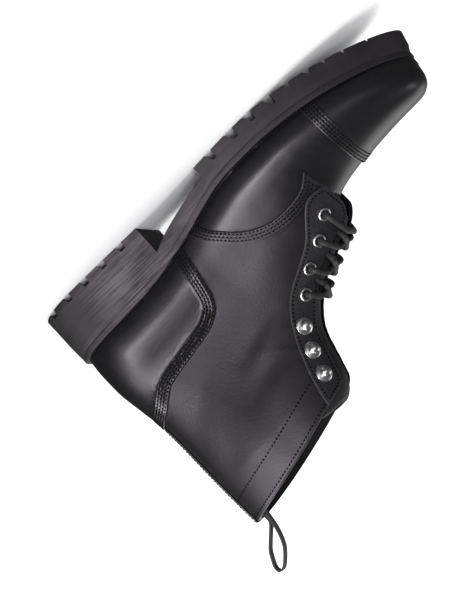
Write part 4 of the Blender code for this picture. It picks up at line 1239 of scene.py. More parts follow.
@dataclass(frozen=True)
class Webbing(Woven):
    """Woven tape or cloth, with a rib in each direction."""

    rib: float = 0.0011

    def material(self) -> Material:
        """Builds the finish."""
        shader = Shader(self.name)
        where = shader.place()
        parts = shader.node("ShaderNodeSeparateXYZ", None, {0: where})
        wave = 2 * math.pi / self.rib
        warp = (parts.out("Y") * wave).sine() * 0.5 + 0.5
        weft = ((parts.out("X") + parts.out("Z")) * wave).sine() * 0.5 + 0.5
        fibre = shader.noise(where, 4200.0, 2.0, 0.7)
        shader.set(Roughness=fibre * 0.12 + 0.78)
        return self._dressed(shader, warp * 0.5 + weft * 0.5, fibre, 0.6, 0.00018)


@dataclass(frozen=True)
class Thread:
    """Waxed sewing thread."""

    name: str
    colour: Colour
    roughness: float = 0.5

    def material(self) -> Material:
        """Builds the finish."""
        shader = Shader(self.name)
        fibre = shader.noise(shader.place(), 3800.0, 2.0, 0.6)
        shader.set(Base_Color=shader.mix(fibre, self.colour, scaled(self.colour, 1.9)))
        shader.set(Roughness=fibre * 0.2 + (self.roughness - 0.1), Specular_IOR_Level=0.06)
        return shader.material


@dataclass(frozen=True)
class Paper:
    """The studio's pale floor."""

    name: str
    colour: Colour

    def material(self) -> Material:
        """Builds the finish."""
        shader = Shader(self.name)
        tooth = shader.noise(shader.place(), 900.0)
        shader.set(Base_Color=self.colour, Roughness=tooth * 0.1 + 0.7, Specular_IOR_Level=0.0)
        return shader.material


SMOOTH_BLACK: Colour = (0.0026, 0.0025, 0.0028)
SMOOTH_WORN: Colour = (0.0054, 0.0053, 0.0057)
VAMP = Leather("vamp_leather", SMOOTH_BLACK, SMOOTH_WORN, 0.41, coat=0.1)
CAP = Leather("cap_leather", SMOOTH_BLACK, SMOOTH_WORN, 0.38, coat=0.1, rows=(1.4, 3.5, 5.6, 7.7))
COUNTER_HIDE = Leather("counter_leather", SMOOTH_BLACK, SMOOTH_WORN, 0.36, coat=0.1,
                       rows=(1.4, 3.4, 5.4, 7.4), specular=0.27)
QUARTER_HIDE = Leather("quarter_leather", (0.0024, 0.0022, 0.0027), (0.0064, 0.0059, 0.0070), 0.47,
                       depth=0.00010, rows=(1.4, 3.5, 5.6))
EYESTAY_HIDE = Leather("eyestay_leather", (0.0028, 0.0027, 0.0030), (0.0056, 0.0055, 0.0059), 0.62,
                       grain=0.0017, depth=0.00034, rows=(2.1,), edge_highlight=0.22, specular=0.48)
TONGUE_HIDE = Leather("tongue_leather", (0.0024, 0.0023, 0.0026), (0.0050, 0.0049, 0.0053), 0.66,
                      grain=0.0013, specular=0.2)
SOLE_RUBBER = Rubber("sole_rubber", (0.0048, 0.0044, 0.0050), (0.0700, 0.0630, 0.0690))
NICKEL = Metal("nickel", (0.80, 0.80, 0.81))
LACE_BRAID = Braid("lace_cord", (0.0022, 0.0022, 0.0024), (0.0070, 0.0070, 0.0076))
LOOP_TAPE = Webbing("loop_webbing", (0.008, 0.008, 0.0086), (0.024, 0.0238, 0.0252))
FOOTBED_CLOTH = Webbing("footbed_fabric", (0.020, 0.020, 0.021), (0.045, 0.0445, 0.046), rib=0.0016)
BLACK_THREAD = Thread("black_thread", (0.0014, 0.0014, 0.0015), 0.85)
FLOOR_PAPER = Paper("floor_paper", (0.86, 0.86, 0.87))


def seat(piece: Object, slot: str, *nodes: str) -> Object:
    """Makes a piece ride on the boot and stand for solids.

    Args:
        piece: the piece, in place.
        slot: not used.
        nodes: the solids that it stands for.

    Returns:
        The piece.
    """
    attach(piece, "root")
    if nodes:
        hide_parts(*nodes)
    triangles = sum(len(face.vertices) - 2 for face in piece.data.polygons)
    LOG.info("%s: %d triangles", piece.name, triangles)
    return piece


# ---- panels
EDGE_ROUND = 0.0009  # how far in a panel's rounded edge reaches
EDGE_STEPS = (-0.00018, -0.00045, -EDGE_ROUND)  # where a panel is split to round it
EDGE_SHARE = 0.42  # thickness left at the very edge
FAR_IN = -0.03  # a signed distance well inside an edge
FAR_OUT = 0.02  # and one well outside


@dataclass
class SeamRow:
    """A row of stitches as a line over the boot, with the direction that is up from it."""

    points: Array
    ups: Array


class PanelCutter:
    """Cuts panels from the last's grid and gives them thickness."""

    def __init__(self, last: Last) -> None:
        """Keeps the last and makes its grid."""
        self.last = last
        self.grid = last_grid()

    def blank(self, offset: float, raised: bool) -> Patch:
        """The whole grid with the place of each point over the last.

        Args:
            offset: height over the upper's outer face.
            raised: whether it is the raised form.

        Returns:
            A patch with values x, y, z and rim, the distance from the collar's edge.
        """
        patch = Patch(self.grid.s.copy(), self.grid.w.copy(), self.grid.faces.copy())
        points = self.last.shell(patch.s, patch.w, offset, raised)
        patch.values["x"], patch.values["z"] = points[:, 0].copy(), points[:, 2].copy()
        patch.values["y"] = points[:, 1] - self.last.sole.centre(points[:, 0])
        collar = np.full_like(patch.s, self.last.collar_section)
        rim = self.last.shell(collar, patch.w, offset, raised)
        patch.values["rim"] = -np.linalg.norm(rim - points, axis=1)
        return patch

    def cut(self, patch: Patch, edge: Array, extra: Sequence[float] = ()) -> Patch:
        """Cuts a patch along a signed distance and splits it near its edge.

        Args:
            patch: the patch.
            edge: signed distance to the panel's edge, negative inside.
            extra: more levels to split at.

        Returns:
            The patch, with the distance as its value "edge".
        """
        patch.values["edge"] = edge.copy()
        patch.split("edge", 0.0)
        patch.keep("edge")
        for level in (*EDGE_STEPS, *extra):
            patch.split("edge", level)
        return patch

    def mesh(self, name: str, patch: Patch, level: float, thickness: float, raised: bool,
             puff: Callable[[Patch], Array] | None = None) -> Mesh:
        """Gives a patch thickness, with rounded cut edges.

        Args:
            name: the mesh's name.
            patch: a patch that has been cut.
            level: height of its inner face over the upper's outer face.
            thickness: its thickness.
            raised: whether it is on the raised form.
            puff: extra thickness at the patch's points.

        Returns:
            The closed mesh.
        """
        inside = np.clip(-patch.values["edge"] / EDGE_ROUND, 0.0, 1.0)
        height = thickness * (EDGE_SHARE + (1 - EDGE_SHARE) * np.sqrt(1 - (1 - inside) ** 2))
        if puff is not None:
            height = height + puff(patch)
        outer = self.last.shell(patch.s, patch.w, level + height, raised)
        inner = self.last.shell(patch.s, patch.w, np.full(len(patch.s), level), raised)
        count = len(patch.s)
        faces = [tuple(face) for face in patch.faces]
        faces += [(a + count, c + count, b + count) for a, b, c in patch.faces]
        for a, b in patch.border():
            on_back = min(patch.s[a], patch.s[b]) > self.last.heel_section - 0.01
            on_back = on_back and min(abs(patch.w[a]), abs(patch.w[b])) > CLOSED_GIRTH
            on_nose = max(patch.s[a], patch.s[b]) < NOSE_SECTION + 0.01
            if not on_back and not on_nose:
                faces.append((b, a, a + count, b + count))
        values = {"edge_mm": np.tile(-patch.values["edge"] * 1000, 2),
                  "lining": np.repeat((0.0, 1.0), count)}
        return make_mesh(name, np.vstack([outer, inner]), faces, values=values)

    def half(self, side: Side, offset: float) -> Patch:
        """One side of the raised form.

        Args:
            side: which side.
            offset: height over the upper's outer face.

        Returns:
            A patch whose value "throat" is the signed distance to its facing's edge.
        """
        patch = self.blank(offset, True)
        patch.values["middle"] = -patch.w * side.value
        patch.keep("middle")
        throat = self.last.throat_half(patch.values["z"]) - patch.values["y"] * side.value
        patch.values["throat"] = np.where(np.abs(patch.w) > 1, FAR_IN, throat)
        return patch

    def rows(self, patch: Patch, name: str, level: float, offset: float, raised: bool,
             where: Callable[[Array], Array] | None = None) -> list[SeamRow]:
        """Stitch rows along a level of one of a patch's values.

        Args:
            patch: the patch.
            name: the value.
            level: the value's level on the row.
            offset: height of the row over the upper's outer face.
            raised: whether it is on the raised form.
            where: tells which of (n, 3) points keep the row; all of them by default.

        Returns:
            The rows.
        """
        patch.split(name, level)
        found = []
        for line in patch.line(name, level):
            s, w = line[:, 0], line[:, 1]
            points, ups = self.last.shell(s, w, offset, raised), self.last.normal(s, w, raised)
            kept = np.ones(len(s), bool) if where is None else where(points)
            breaks = np.flatnonzero(np.diff(kept.astype(int))) + 1
            for part in np.split(np.arange(len(s)), breaks):
                if len(part) > 2 and kept[part[0]]:
                    found.append(SeamRow(points[part], ups[part]))
        return found


def quilted(insets: Sequence[float], swell: float, name: str = "edge") -> Callable[[Patch], Array]:
    """Extra thickness that swells between stitch rows.

    Args:
        insets: the rows' distances in, in millimetres.
        swell: the swelling half-way between two rows.
        name: the value that the distances are levels of, negated.

    Returns:
        A function for a panel's puff.
    """
    step = insets[1] - insets[0]

    def puff(patch: Patch) -> Array:
        """The extra thickness at a patch's points."""
        inside = -patch.values[name] * 1000
        wave = np.sin(math.pi * (inside - insets[0]) / step) ** 2
        return swell * wave * ((inside > insets[0]) & (inside < insets[-1] + step))
    return puff


def row_levels(insets: Sequence[float]) -> list[float]:
    """The levels at which a quilted edge is split: each row, and steps between rows."""
    step = (insets[1] - insets[0]) / 4
    return [-(insets[0] + step * k) / 1000 for k in range(4 * len(insets) + 1)]


# Side-view outlines of the overlays, in stations.
QUARTER_SEAM = [
    (0.2010, 0.0520), (0.1920, 0.0585), (0.1800, 0.0612), (0.1660, 0.0610), (0.1540, 0.0575),
    (0.1440, 0.0515), (0.1350, 0.0425), (0.1270, 0.0330), (0.1190, 0.0150)]
EYESTAY_REAR = [
    (0.2030, 0.0660), (0.1875, 0.0670), (0.1700, 0.0830), (0.1588, 0.0900), (0.1400, 0.1005),
    (0.1290, 0.1110), (0.1200, 0.1265), (0.1150, 0.1400), (0.1110, 0.1530), (0.1072, 0.1740),
    (0.1060, 0.2100)]
COUNTER_TOP = [
    (0.1062, 0.0100), (0.1062, 0.0400), (0.1030, 0.0580), (0.1000, 0.0690), (0.0950, 0.0765),
    (0.0850, 0.0825), (0.0720, 0.0855), (0.0420, 0.0912), (0.0330, 0.0958), (0.0220, 0.1030),
    (0.0050, 0.1085), (-0.0200, 0.1090)]
FACING_FOOT = [(0.2010, 0.0520), (0.2030, 0.0650), (0.2046, 0.0800), (0.2040, 0.1000)]
CAP_REAR = [(0.2265, 0.0), (0.2300, 0.0900)]
ABOVE = 0.26  # a height clear above the boot, where outlines are closed
BELOW = -0.02  # and one below it
BEHIND, AHEAD = -0.05, 0.33


@dataclass
class Uppers:
    """The leather upper: vamp and lining, with the panels sewn over them."""

    cutter: PanelCutter
    foot_corner: float = 0.0090  # radius of the facings' lower front corners
    collar_corner: float = 0.0055
    backstay_half: float = 0.0072
    backstay_foot: float = 0.1067
    rear_end: float = 0.06  # stations up to this belong to the boot's rear
    lining_back: float = 0.0007  # how far the lining's edge stands back
    swell: float = 0.00030  # how far leather swells between stitch rows
    backstay_rows: tuple[float, ...] = (1.5,)  # in millimetres from the edge
    collar_rows: tuple[float, ...] = (2.6, 19.0)  # in millimetres below the collar
    seam_front: float = 0.199  # the quarter's seam isn't sewn ahead of this station
    clear: float = 0.0006  # how far a collar row stops short of other panels
    seams: list[SeamRow] = field(default_factory=list)

    def build(self) -> list[Object]:
        """Builds every leather piece."""
        cap = Outline(CAP_REAR, [(AHEAD, 0.09), (AHEAD, 0.0)])
        counter = Outline(COUNTER_TOP, [(BELOW, 0.01)])
        made = [self._shell(),
                self._bordered("toe_cap", "cap", CAP, cap, PANEL_LEVEL, PANEL_THICKNESS),
                self._bordered("counter", "counter", COUNTER_HIDE, counter, COVER_LEVEL,
                               COVER_THICKNESS),
                self._backstay()]
        for side in Side:
            made += [self._quarter(side), self._eyestay(side)]
        return made

    def _sew(self, patch: Patch, insets: Sequence[float], top: float, raised: bool,
             name: str = "edge", where: Callable[[Array], Array] | None = None) -> None:
        """Adds stitch rows to the seams.

        Args:
            patch: the panel's patch.
            insets: the rows' distances in, in millimetres.
            top: height of the panel's outer face.
            raised: whether it is on the raised form.
            name: the value that the distances are levels of, negated.
            where: tells which of (n, 3) points are sewn; all of them by default.
        """
        for inset in insets:
            self.seams += self.cutter.rows(patch, name, -inset / 1000, top, raised, where)

    def _shell(self) -> Object:
        """Vamp, lining and inner wall in one."""
        last = self.cutter.last
        patch = self.cutter.blank(0.0, False)
        ahead = (patch.s - last.throat_section) * 0.010
        opening = last.throat_half(last.section["top_z"](patch.s)) + self.lining_back
        across = np.where(np.abs(patch.w) > 1, FAR_IN, opening - np.abs(patch.values["y"]))
        edge = soft_corner(np.minimum(ahead, across), patch.values["rim"], self.collar_corner)
        self.cutter.cut(patch, edge)
        mesh = self.cutter.mesh("upper", patch, -UPPER_WALL, UPPER_WALL, False)
        return seat(finished("upper_hide", mesh, VAMP.material()), "vamp", "upper")

    def _bordered(self, node: str, slot: str, finish: Leather, outline: Outline, level: float,
                  thickness: float) -> Object:
        """A panel with stitch rows along its edge.

        Args:
            node: the solid that it stands for.
            slot: the record's material slot.
            finish: its leather.
            outline: its outline in the side view.
            level: height of its inner face over the upper's outer face.
            thickness: its thickness.

        Returns:
            The piece.
        """
        patch = self.cutter.blank(level, False)
        edge = outline.distance(patch.values["x"], patch.values["z"])
        self.cutter.cut(patch, edge, row_levels(finish.rows))
        puff = quilted(finish.rows, self.swell)
        mesh = self.cutter.mesh(node, patch, level, thickness, False, puff)
        self._sew(patch, finish.rows, level + thickness, False)
        return seat(finished(f"{node}_hide", mesh, finish.material()), slot, node)

    def _backstay(self) -> Object:
        """The strip over the back seam."""
        patch = self.cutter.blank(COVER_LEVEL, False)
        values = patch.values
        sides, foot = np.abs(values["y"]) - self.backstay_half, self.backstay_foot - values["z"]
        edge = np.where(values["x"] > self.rear_end, FAR_OUT, np.maximum(sides, foot))
        self.cutter.cut(patch, np.maximum(edge, values["rim"]))
        mesh = self.cutter.mesh("backstay", patch, COVER_LEVEL, COVER_THICKNESS, False)
        self._sew(patch, self.backstay_rows, COVER_TOP, False)
        piece = finished("backstay_strip", mesh, COUNTER_HIDE.material())
        return seat(piece, "counter", "backstay")

    def _quarter(self, side: Side) -> Object:
        """One quarter with its facing.

        Args:
            side: which side.

        Returns:
            The piece.
        """
        patch = self.cutter.half(side, PANEL_LEVEL)
        values = patch.values
        closing = [(0.1190, BELOW), (BEHIND, BELOW), (BEHIND, ABOVE), (0.2040, ABOVE)]
        outline = Outline(QUARTER_SEAM, closing + FACING_FOOT[:0:-1])
        edge = outline.distance(values["x"], values["z"])
        edge = soft_corner(edge, values["throat"], self.foot_corner)
        self.cutter.cut(patch, soft_corner(edge, values["rim"], self.collar_corner))
        values = patch.values
        values["seam"] = -outline.from_edge(values["x"], values["z"])
        for level in row_levels(QUARTER_HIDE.rows):
            patch.split("seam", level)
        puff = quilted(QUARTER_HIDE.rows, self.swell, "seam")
        mesh = self.cutter.mesh("quarter", patch, PANEL_LEVEL, PANEL_THICKNESS, True, puff)
        eyestay = Outline(EYESTAY_REAR, [(0.1060, ABOVE), (0.3, ABOVE), (0.3, 0.0660)])

        def beside_vamp(points: Array) -> Array:
            """Which points lie along the vamp."""
            return points[:, 0] < self.seam_front

        def between_covers(points: Array) -> Array:
            """Which points lie between the eyestay and the backstay."""
            clear = eyestay.distance(points[:, 0], points[:, 2]) > self.clear
            beside = np.abs(points[:, 1]) > self.backstay_half + self.clear
            return clear & (beside | (points[:, 0] > self.rear_end))

        self._sew(patch, QUARTER_HIDE.rows, PANEL_TOP, True, "seam", beside_vamp)
        self._sew(patch, self.collar_rows, PANEL_TOP, True, "rim", between_covers)
        piece = finished(f"quarter_hide_{side.label}", mesh, QUARTER_HIDE.material())
        return seat(piece, "quarter", f"quarter_{side.label}")

    def _eyestay(self, side: Side) -> Object:
        """One eyestay, over its facing.

        Args:
            side: which side.

        Returns:
            The piece.
        """
        patch = self.cutter.half(side, COVER_LEVEL)
        values = patch.values
        outline = Outline(EYESTAY_REAR, [(0.1060, ABOVE), (0.2040, ABOVE)] + FACING_FOOT[:1:-1])
        edge = outline.distance(values["x"], values["z"])
        edge = soft_corner(edge, values["throat"], self.foot_corner)
        corner = soft_corner(values["throat"], values["rim"], self.collar_corner)
        self.cutter.cut(patch, np.maximum(edge, corner))
        mesh = self.cutter.mesh("eyestay", patch, COVER_LEVEL, COVER_THICKNESS, True)
        self._sew(patch, EYESTAY_HIDE.rows, COVER_TOP, True)
        piece = finished(f"eyestay_hide_{side.label}", mesh, EYESTAY_HIDE.material())
        return seat(piece, "eyestay", f"eyestay_{side.label}")


# ---- tongue
@dataclass
class Tongue:
    """A padded strip under the facings, from below the vamp to above the collar."""

    last: Last
    first_section: float = 6.3
    clearance: float = 0.0005
    thickness: float = 0.0030
    puff: float = 0.0008
    columns: int = 20
    spread: float = 0.62  # its edge, as a girth
    edge_thin: float = 0.0006  # how far each face draws in at the edge
    tip: float = 0.45  # how far the top edge's middle stands out, in last steps
    tops: Line = ((-0.0018, 0.0036), (-0.0045, 0.0075), (-0.0075, 0.0102), (-0.0105, 0.0118))

    def _face(self, s: Array, w: Array, depth: float, pad: float) -> Array:
        """One face, from its foot to its top.

        Args:
            s: sections of its grid.
            w: girths of its grid.
            depth: how far it lies under the tongue's outer face.
            pad: share of the padding that it takes.

        Returns:
            (rows, columns, 3) points.
        """
        across = np.abs(w) / self.spread
        swell = self.puff * (1 - across ** 4) * smoothstep(7, 9, s)
        offset = -UPPER_WALL - self.clearance - depth + pad * swell
        offset = offset - self.edge_thin * across ** 6 * pad
        rise = smoothstep(6.9, 7.55, s)[..., None]  # where it comes out from under the vamp
        face = self.last.shell(s, w, offset, False) * (1 - rise)
        face = face + self.last.shell(s, w, offset, True) * rise
        rows, fall = [face], across[-1]
        for dx, dz in self.tops:
            row = face[-1].copy()
            row[:, 0] += dx * (1 - 0.3 * fall)
            row[:, 2] += dz * (1 - 0.75 * fall ** 2)
            row[:, 1] *= 1 - 0.08 * dx / self.tops[-1][0]
            rows.append(row[None])
        return np.concatenate(rows)

    def build(self) -> list[Object]:
        """Builds the tongue."""
        sections = np.concatenate([np.linspace(self.first_section, 8, 18),
                                   np.linspace(8.2, self.last.collar_section, 60)])
        girths = np.linspace(-self.spread, self.spread, 2 * self.columns + 1)
        s, w = np.meshgrid(sections, girths, indexing="ij")
        outer, inner = self._face(s, w, 0.0, 1.0), self._face(s, w, self.thickness, -0.3)
        middle = (outer + inner) / 2
        tip = middle[-1:] + (outer[-1:] - outer[-2:-1]) * self.tip
        points = np.concatenate([outer, tip, inner[::-1]])
        rows, columns, total = len(outer), len(girths), len(points)
        faces = grid_faces(total, columns, round_rows=True)
        for j in (0, columns - 1):
            for i in range(rows - 1):
                a, b = i * columns + j, (total - 1 - i) * columns + j
                faces.append((a, a + columns, b - columns, b))
            a, b = (rows - 1) * columns + j, (total - rows) * columns + j
            faces.append((a, a + columns, b))
        mesh = make_mesh("tongue", points.reshape(-1, 3), faces)
        piece = finished("padded_tongue", mesh, TONGUE_HIDE.material(), 60.0)
        return [seat(piece, "tongue", "tongue")]


# ---- sole
def cut_away(item: Object, cutter: Object) -> None:
    """Cuts one mesh object with another, which is then removed.

    Args:
        item: the object that is cut.
        cutter: the object that cuts.
    """
    modifier = item.modifiers.new("cut", "BOOLEAN")
    modifier.operation, modifier.solver, modifier.use_self = "DIFFERENCE", "EXACT", True
    modifier.object = cutter
    apply_modifiers(item)
    bpy.data.objects.remove(cutter, do_unlink=True)


@dataclass(frozen=True)
class Notch:
    """A notch in the sole's edge: from rear to front at the ground, in stations."""

    rear: float
    front: float
    depth: float
    lean: float = 0.62  # share of its width that the rear wall leans over


NOTCHES = [
    Notch(0.1590, 0.1675, 0.0062), Notch(0.1775, 0.1880, 0.0064), Notch(0.1950, 0.2038, 0.0062),
    Notch(0.2118, 0.2203, 0.0058), Notch(0.2285, 0.2350, 0.0040), Notch(0.2430, 0.2500, 0.0034),
    Notch(0.2570, 0.2612, 0.0027), Notch(0.2705, 0.2740, 0.0022), Notch(0.2868, 0.2896, 0.0018)]
HEEL_NOTCHES = [
    Notch(0.0075, 0.0143, 0.0044, 0.34), Notch(0.0236, 0.0310, 0.0048, 0.34),
    Notch(0.0392, 0.0470, 0.0050, 0.34), Notch(0.0556, 0.0634, 0.0050, 0.34),
    Notch(0.0728, 0.0804, 0.0050, 0.34)]
Point = tuple[float, float, float]
Height = Callable[[float], float]
Layer = Callable[[float, int], Point]


def level_ground(x: float) -> float:
    """Height of the heel's ground face."""
    return 0.0


@dataclass
class Sole:
    """Outsole, heel block and footbed."""

    last: Last
    wall_lean: float = 0.0006
    toe_slope: float = 0.0052
    rim_radius: float = 0.0011
    band: float = 0.0045  # height of the band along the sole's upper edge
    band_groove: float = 0.00025
    notch_length: float = 0.0400
    notch_taper: float = 0.9  # share of its width that a notch keeps at its inner end
    heel_notch_length: float = 0.0175
    heel_notch_taper: float = 0.62
    sweep_back: float = math.radians(7)  # how far the notches turn to the rear
    reach: float = 0.004  # how far a cutter reaches below the ground face
    overhang: float = 0.008  # and out past the sole's edge
    channel: float = 0.0042  # width of the lengthwise channels
    channel_reach: float = 0.003  # how far their cutters reach below the ground face
    channel_inset: float = 0.0215
    channel_depth: float = 0.0050
    heel_channel_inset: float = 0.0165
    heel_channel_depth: float = 0.0038
    chevrons: int = 9
    chevron_half: float = 0.009  # how far a chevron reaches to each side
    chevron_pitch: float = 0.0146
    chevron_depth: float = 0.0044
    welt_inset: float = 0.0017
    welt_rear: float = 0.118  # the row round the forefoot runs between these stations
    welt_front: float = 0.3065
    footbed_thickness: float = 0.0028
    footbed_gap: float = 0.0012  # between the footbed and the inner wall
    footbed_bowl: float = 0.0012  # how far its long edges rise over its middle
    seams: list[SeamRow] = field(default_factory=list)

    def _welt(self) -> None:
        """Sews a row along the ledge round the forefoot."""
        shape = self.last.sole
        start = shape.toe_start
        along = np.arange(self.welt_rear, start, 0.003)
        turn = start + (self.welt_front - start) * np.sin(np.linspace(0, 1.5, 40))
        turn = np.concatenate([along, turn])
        for side in (1, -1):
            flat = [shape.place(float(x), side, self.welt_inset, self.toe_slope + self.welt_inset)
                    for x in turn]
            points = np.array([(x, y, float(shape.top(x))) for x, y in flat])
            self.seams.append(SeamRow(points, np.tile((0.0, 0.0, 1.0), (len(points), 1))))

    def build(self) -> list[Object]:
        """Builds the three pieces."""
        rubber = SOLE_RUBBER.material()
        made = []
        self._welt()
        for name, build in (("outsole", self._outsole), ("heel", self._heel)):
            item = build()
            mesh = item.data
            bpy.data.objects.remove(item, do_unlink=True)
            with edited(mesh) as work:  # a cut leaves points almost on each other
                bmesh.ops.remove_doubles(work, verts=work.verts, dist=2e-5)
                bmesh.ops.dissolve_degenerate(work, edges=work.edges, dist=1e-5)
            made.append(seat(finished(f"{name}_rubber", mesh, rubber, 30.0), "rubber", name))
        return made + [self._footbed()]

    @staticmethod
    def _stations(start: float, end: float, heel_arc: float, toe_start: float | None = None,
                  breaks: Sequence[float] = ()) -> Array:
        """Stations of an outline, close together at its round ends.

        Args:
            start: its first station.
            end: its last station.
            heel_arc: length of the round heel.
            toe_start: where the round toe starts; without one the outline ends square.
            breaks: stations that it must have.

        Returns:
            The stations in rising order.
        """
        parts = [start + heel_arc * (1 - np.cos(np.radians(np.arange(3, 90, 4.5)))), breaks]
        if toe_start is None:
            middle = np.arange(start + heel_arc, end, 0.0035)
            parts.append([end])
        else:
            middle = np.arange(start + heel_arc, toe_start, 0.0035)
            turns = np.radians([*np.arange(3, 87.5, 3.6), 88.2, 89.2])
            parts.append(toe_start + (end - toe_start) * np.sin(turns))
        if len(breaks):
            middle = middle[np.all(np.abs(middle[:, None] - np.array(breaks)) > 0.0012, axis=1)]
        return np.unique(np.round(np.concatenate([*parts, middle]), 7))

    @staticmethod
    def _ladder(name: str, stations: Array, layers: Sequence[Layer]) -> Object:
        """A solid with a level rung at each station and a layer for each height.

        Args:
            name: its name.
            stations: the rungs' stations.
            layers: functions that give a layer's point at a station, on the side of a sign.

        Returns:
            The object.
        """
        points = [layer(float(x), side) for layer in layers for x in stations for side in (1, -1)]
        size = 2 * len(stations)
        faces = [(base + k, base + k + 1, base + k + 3, base + k + 2)
                 for base in (0, len(points) - size) for k in range(0, size - 2, 2)]
        for low in range(0, len(points) - size, size):
            faces += [(low + a, low + a + 2, low + size + a + 2, low + size + a)
                      for a in range(size - 2)]
            faces += [(low + a, low + a + 1, low + size + a + 1, low + size + a)
                      for a in (0, size - 2)]
        return linked(name, make_mesh(name, np.array(points), faces, weld=1e-7))

    @staticmethod
    def _cutter(bars: Sequence[Sequence[Sequence[Point]]]) -> Object:
        """A mesh to cut with.

        Args:
            bars: its bars, each given as rings of four corners from one end to the other.

        Returns:
            The object.
        """
        points, faces = [], []
        for bar in bars:
            base, end = len(points), len(points) + 4 * (len(bar) - 1)
            points += [corner for ring in bar for corner in ring]
            faces += grid_faces(len(bar), 4, round_columns=True, first=base)
            faces += [(base, base + 1, base + 2, base + 3), (end + 3, end + 2, end + 1, end)]
        return linked("cutter", make_mesh("cutter", np.array(points), faces, weld=1e-7))

    def _notches(self, side: int, notches: Sequence[Notch], length: float, taper: float,
                 ground: Height) -> Object:
        """Cutters for the notches of one side.

        Args:
            side: the sign of Y.
            notches: the notches.
            length: how far they reach inward.
            taper: share of its width that a notch keeps there.
            ground: height of the ground face at a station.

        Returns:
            The cutters as one object.
        """
        dx, dy = -math.sin(self.sweep_back), -side * math.cos(self.sweep_back)
        ax, ay = abs(dy), -dx * side
        bars = []
        for notch in notches:
            x = (notch.rear + notch.front) / 2
            y = float(self.last.sole.edge_y(x, side))
            low, high = ground(x) - self.reach, ground(x) + notch.depth
            bar = []
            for inward, share in ((-self.overhang, 1.0), (length, taper)):
                half = (notch.front - notch.rear) / 2 * share
                corners = ((-half - 0.0004, low), (half, low), (half - 0.0002, high),
                           (half * (2 * notch.lean - 1), high))
                bar.append([(x + dx * inward + ax * across, y + dy * inward + ay * across, z)
                            for across, z in corners])
            bars.append(bar)
        return self._cutter(bars)

    def _channel(self, side: int, stations: Array, inset: float, depth: float,
                 ground: Height) -> Object:
        """A lengthwise channel's cutter, which follows the sole's edge.

        Args:
            side: the sign of Y.
            stations: the stations that it runs through.
            inset: its distance from the edge.
            depth: its depth.
            ground: height of the ground face at a station.

        Returns:
            The cutter.
        """
        bar = []
        for x in stations:
            y = float(self.last.sole.edge_y(x, side)) - side * inset
            far = y - side * self.channel
            low, high = ground(x) - self.channel_reach, ground(x) + depth
            bar.append([(x, y, low), (x, y, high), (x, far, high), (x, far, low)])
        return self._cutter([bar])

    def _chevrons(self, ground: Height) -> Object:
        """Cutters across the middle of the tread.

        Args:
            ground: height of the ground face at a station.

        Returns:
            The cutters as one object.
        """
        bars = []
        for i in range(self.chevrons):
            x = self.last.sole.lug_rear_x + 0.010 + self.chevron_pitch * i
            low, high = ground(x) - self.reach, ground(x) + self.chevron_depth
            centre = float(self.last.sole.centre(x))
            bars.append([[(x + across - 0.2 * abs(y), y + centre, z) for across, z in
                          ((-0.0016, low), (0.0016, low), (0.0011, high), (-0.0011, high))]
                         for y in (-self.chevron_half, 0.0, self.chevron_half)])
        return self._cutter(bars)

    def _outsole(self) -> Object:
        """The outsole with its lugs."""
        shape = self.last.sole
        breaks = (shape.breast_x, shape.breast_x + 0.0006, shape.lug_rear_x - 0.0007,
                  shape.lug_rear_x)
        stations = self._stations(0.0, shape.length, shape.heel_radius, shape.toe_start, breaks)

        def layer(fraction: float, drop: float = 0.0, inset: float = 0.0) -> Layer:
            """A layer at a share of the height, less a drop, moved in from the wall."""
            def place(x: float, side: int) -> Point:
                """The layer's point at a station."""
                if x <= shape.breast_x and fraction == 0.0:
                    return *shape.place(x, side, 0.0, 0.0), shape.bottom(x) - 0.4 * drop
                moved, y = shape.place(x, side, self.wall_lean * fraction + inset,
                                       self.toe_slope * fraction + inset)
                low, high = shape.bottom(x), float(shape.top(moved))
                return moved, y, low + (high - low) * fraction - drop
            return place

        def tread(x: float) -> float:
            """Height of the ground face."""
            return float(shape.tread(x))

        layers = [layer(0.0, 0.0, 0.0004), layer(0.0, -0.0006), layer(0.3), layer(0.5),
                  layer(1.0, self.band + 0.0004), layer(1.0, self.band, self.band_groove),
                  layer(1.0, self.band - 0.0005), layer(1.0, 0.003)]
        for turn in (0, 22, 45, 68, 90):
            angle = math.radians(turn)
            layers.append(layer(1.0, self.rim_radius * (1 - math.sin(angle)),
                                self.rim_radius * (1 - math.cos(angle))))
        outsole = self._ladder("outsole", stations, layers)
        channel_x = shape.lug_rear_x - 0.004 + 0.0045 * np.arange(27)
        for side in (1, -1):
            cut_away(outsole, self._channel(side, channel_x, self.channel_inset,
                                            self.channel_depth, tread))
        cut_away(outsole, self._chevrons(tread))
        for side in (1, -1):
            cut_away(outsole, self._notches(side, NOTCHES, self.notch_length, self.notch_taper,
                                            tread))
        return outsole

    def _heel(self) -> Object:
        """The heel block with its lugs."""
        shape = self.last.sole

        def layer(z: float, inset: float = 0.0) -> Layer:
            """A level layer, moved in from the wall."""
            return lambda x, side: (*shape.place(x, side, inset, 0.0), z)

        layers = [layer(0.0, 0.0008), layer(0.0003, 0.0002), layer(0.0009), layer(0.0070),
                  layer(0.0140), layer(shape.heel_split)]
        stations = self._stations(0.0, shape.breast_x, shape.heel_radius)
        heel = self._ladder("heel", stations, layers)
        channel_x = 0.021 + 0.0044 * np.arange(19)
        for side in (1, -1):
            cut_away(heel, self._channel(side, channel_x, self.heel_channel_inset,
                                         self.heel_channel_depth, level_ground))
        for side in (1, -1):
            cut_away(heel, self._notches(side, HEEL_NOTCHES, self.heel_notch_length,
                                         self.heel_notch_taper, level_ground))
        return heel

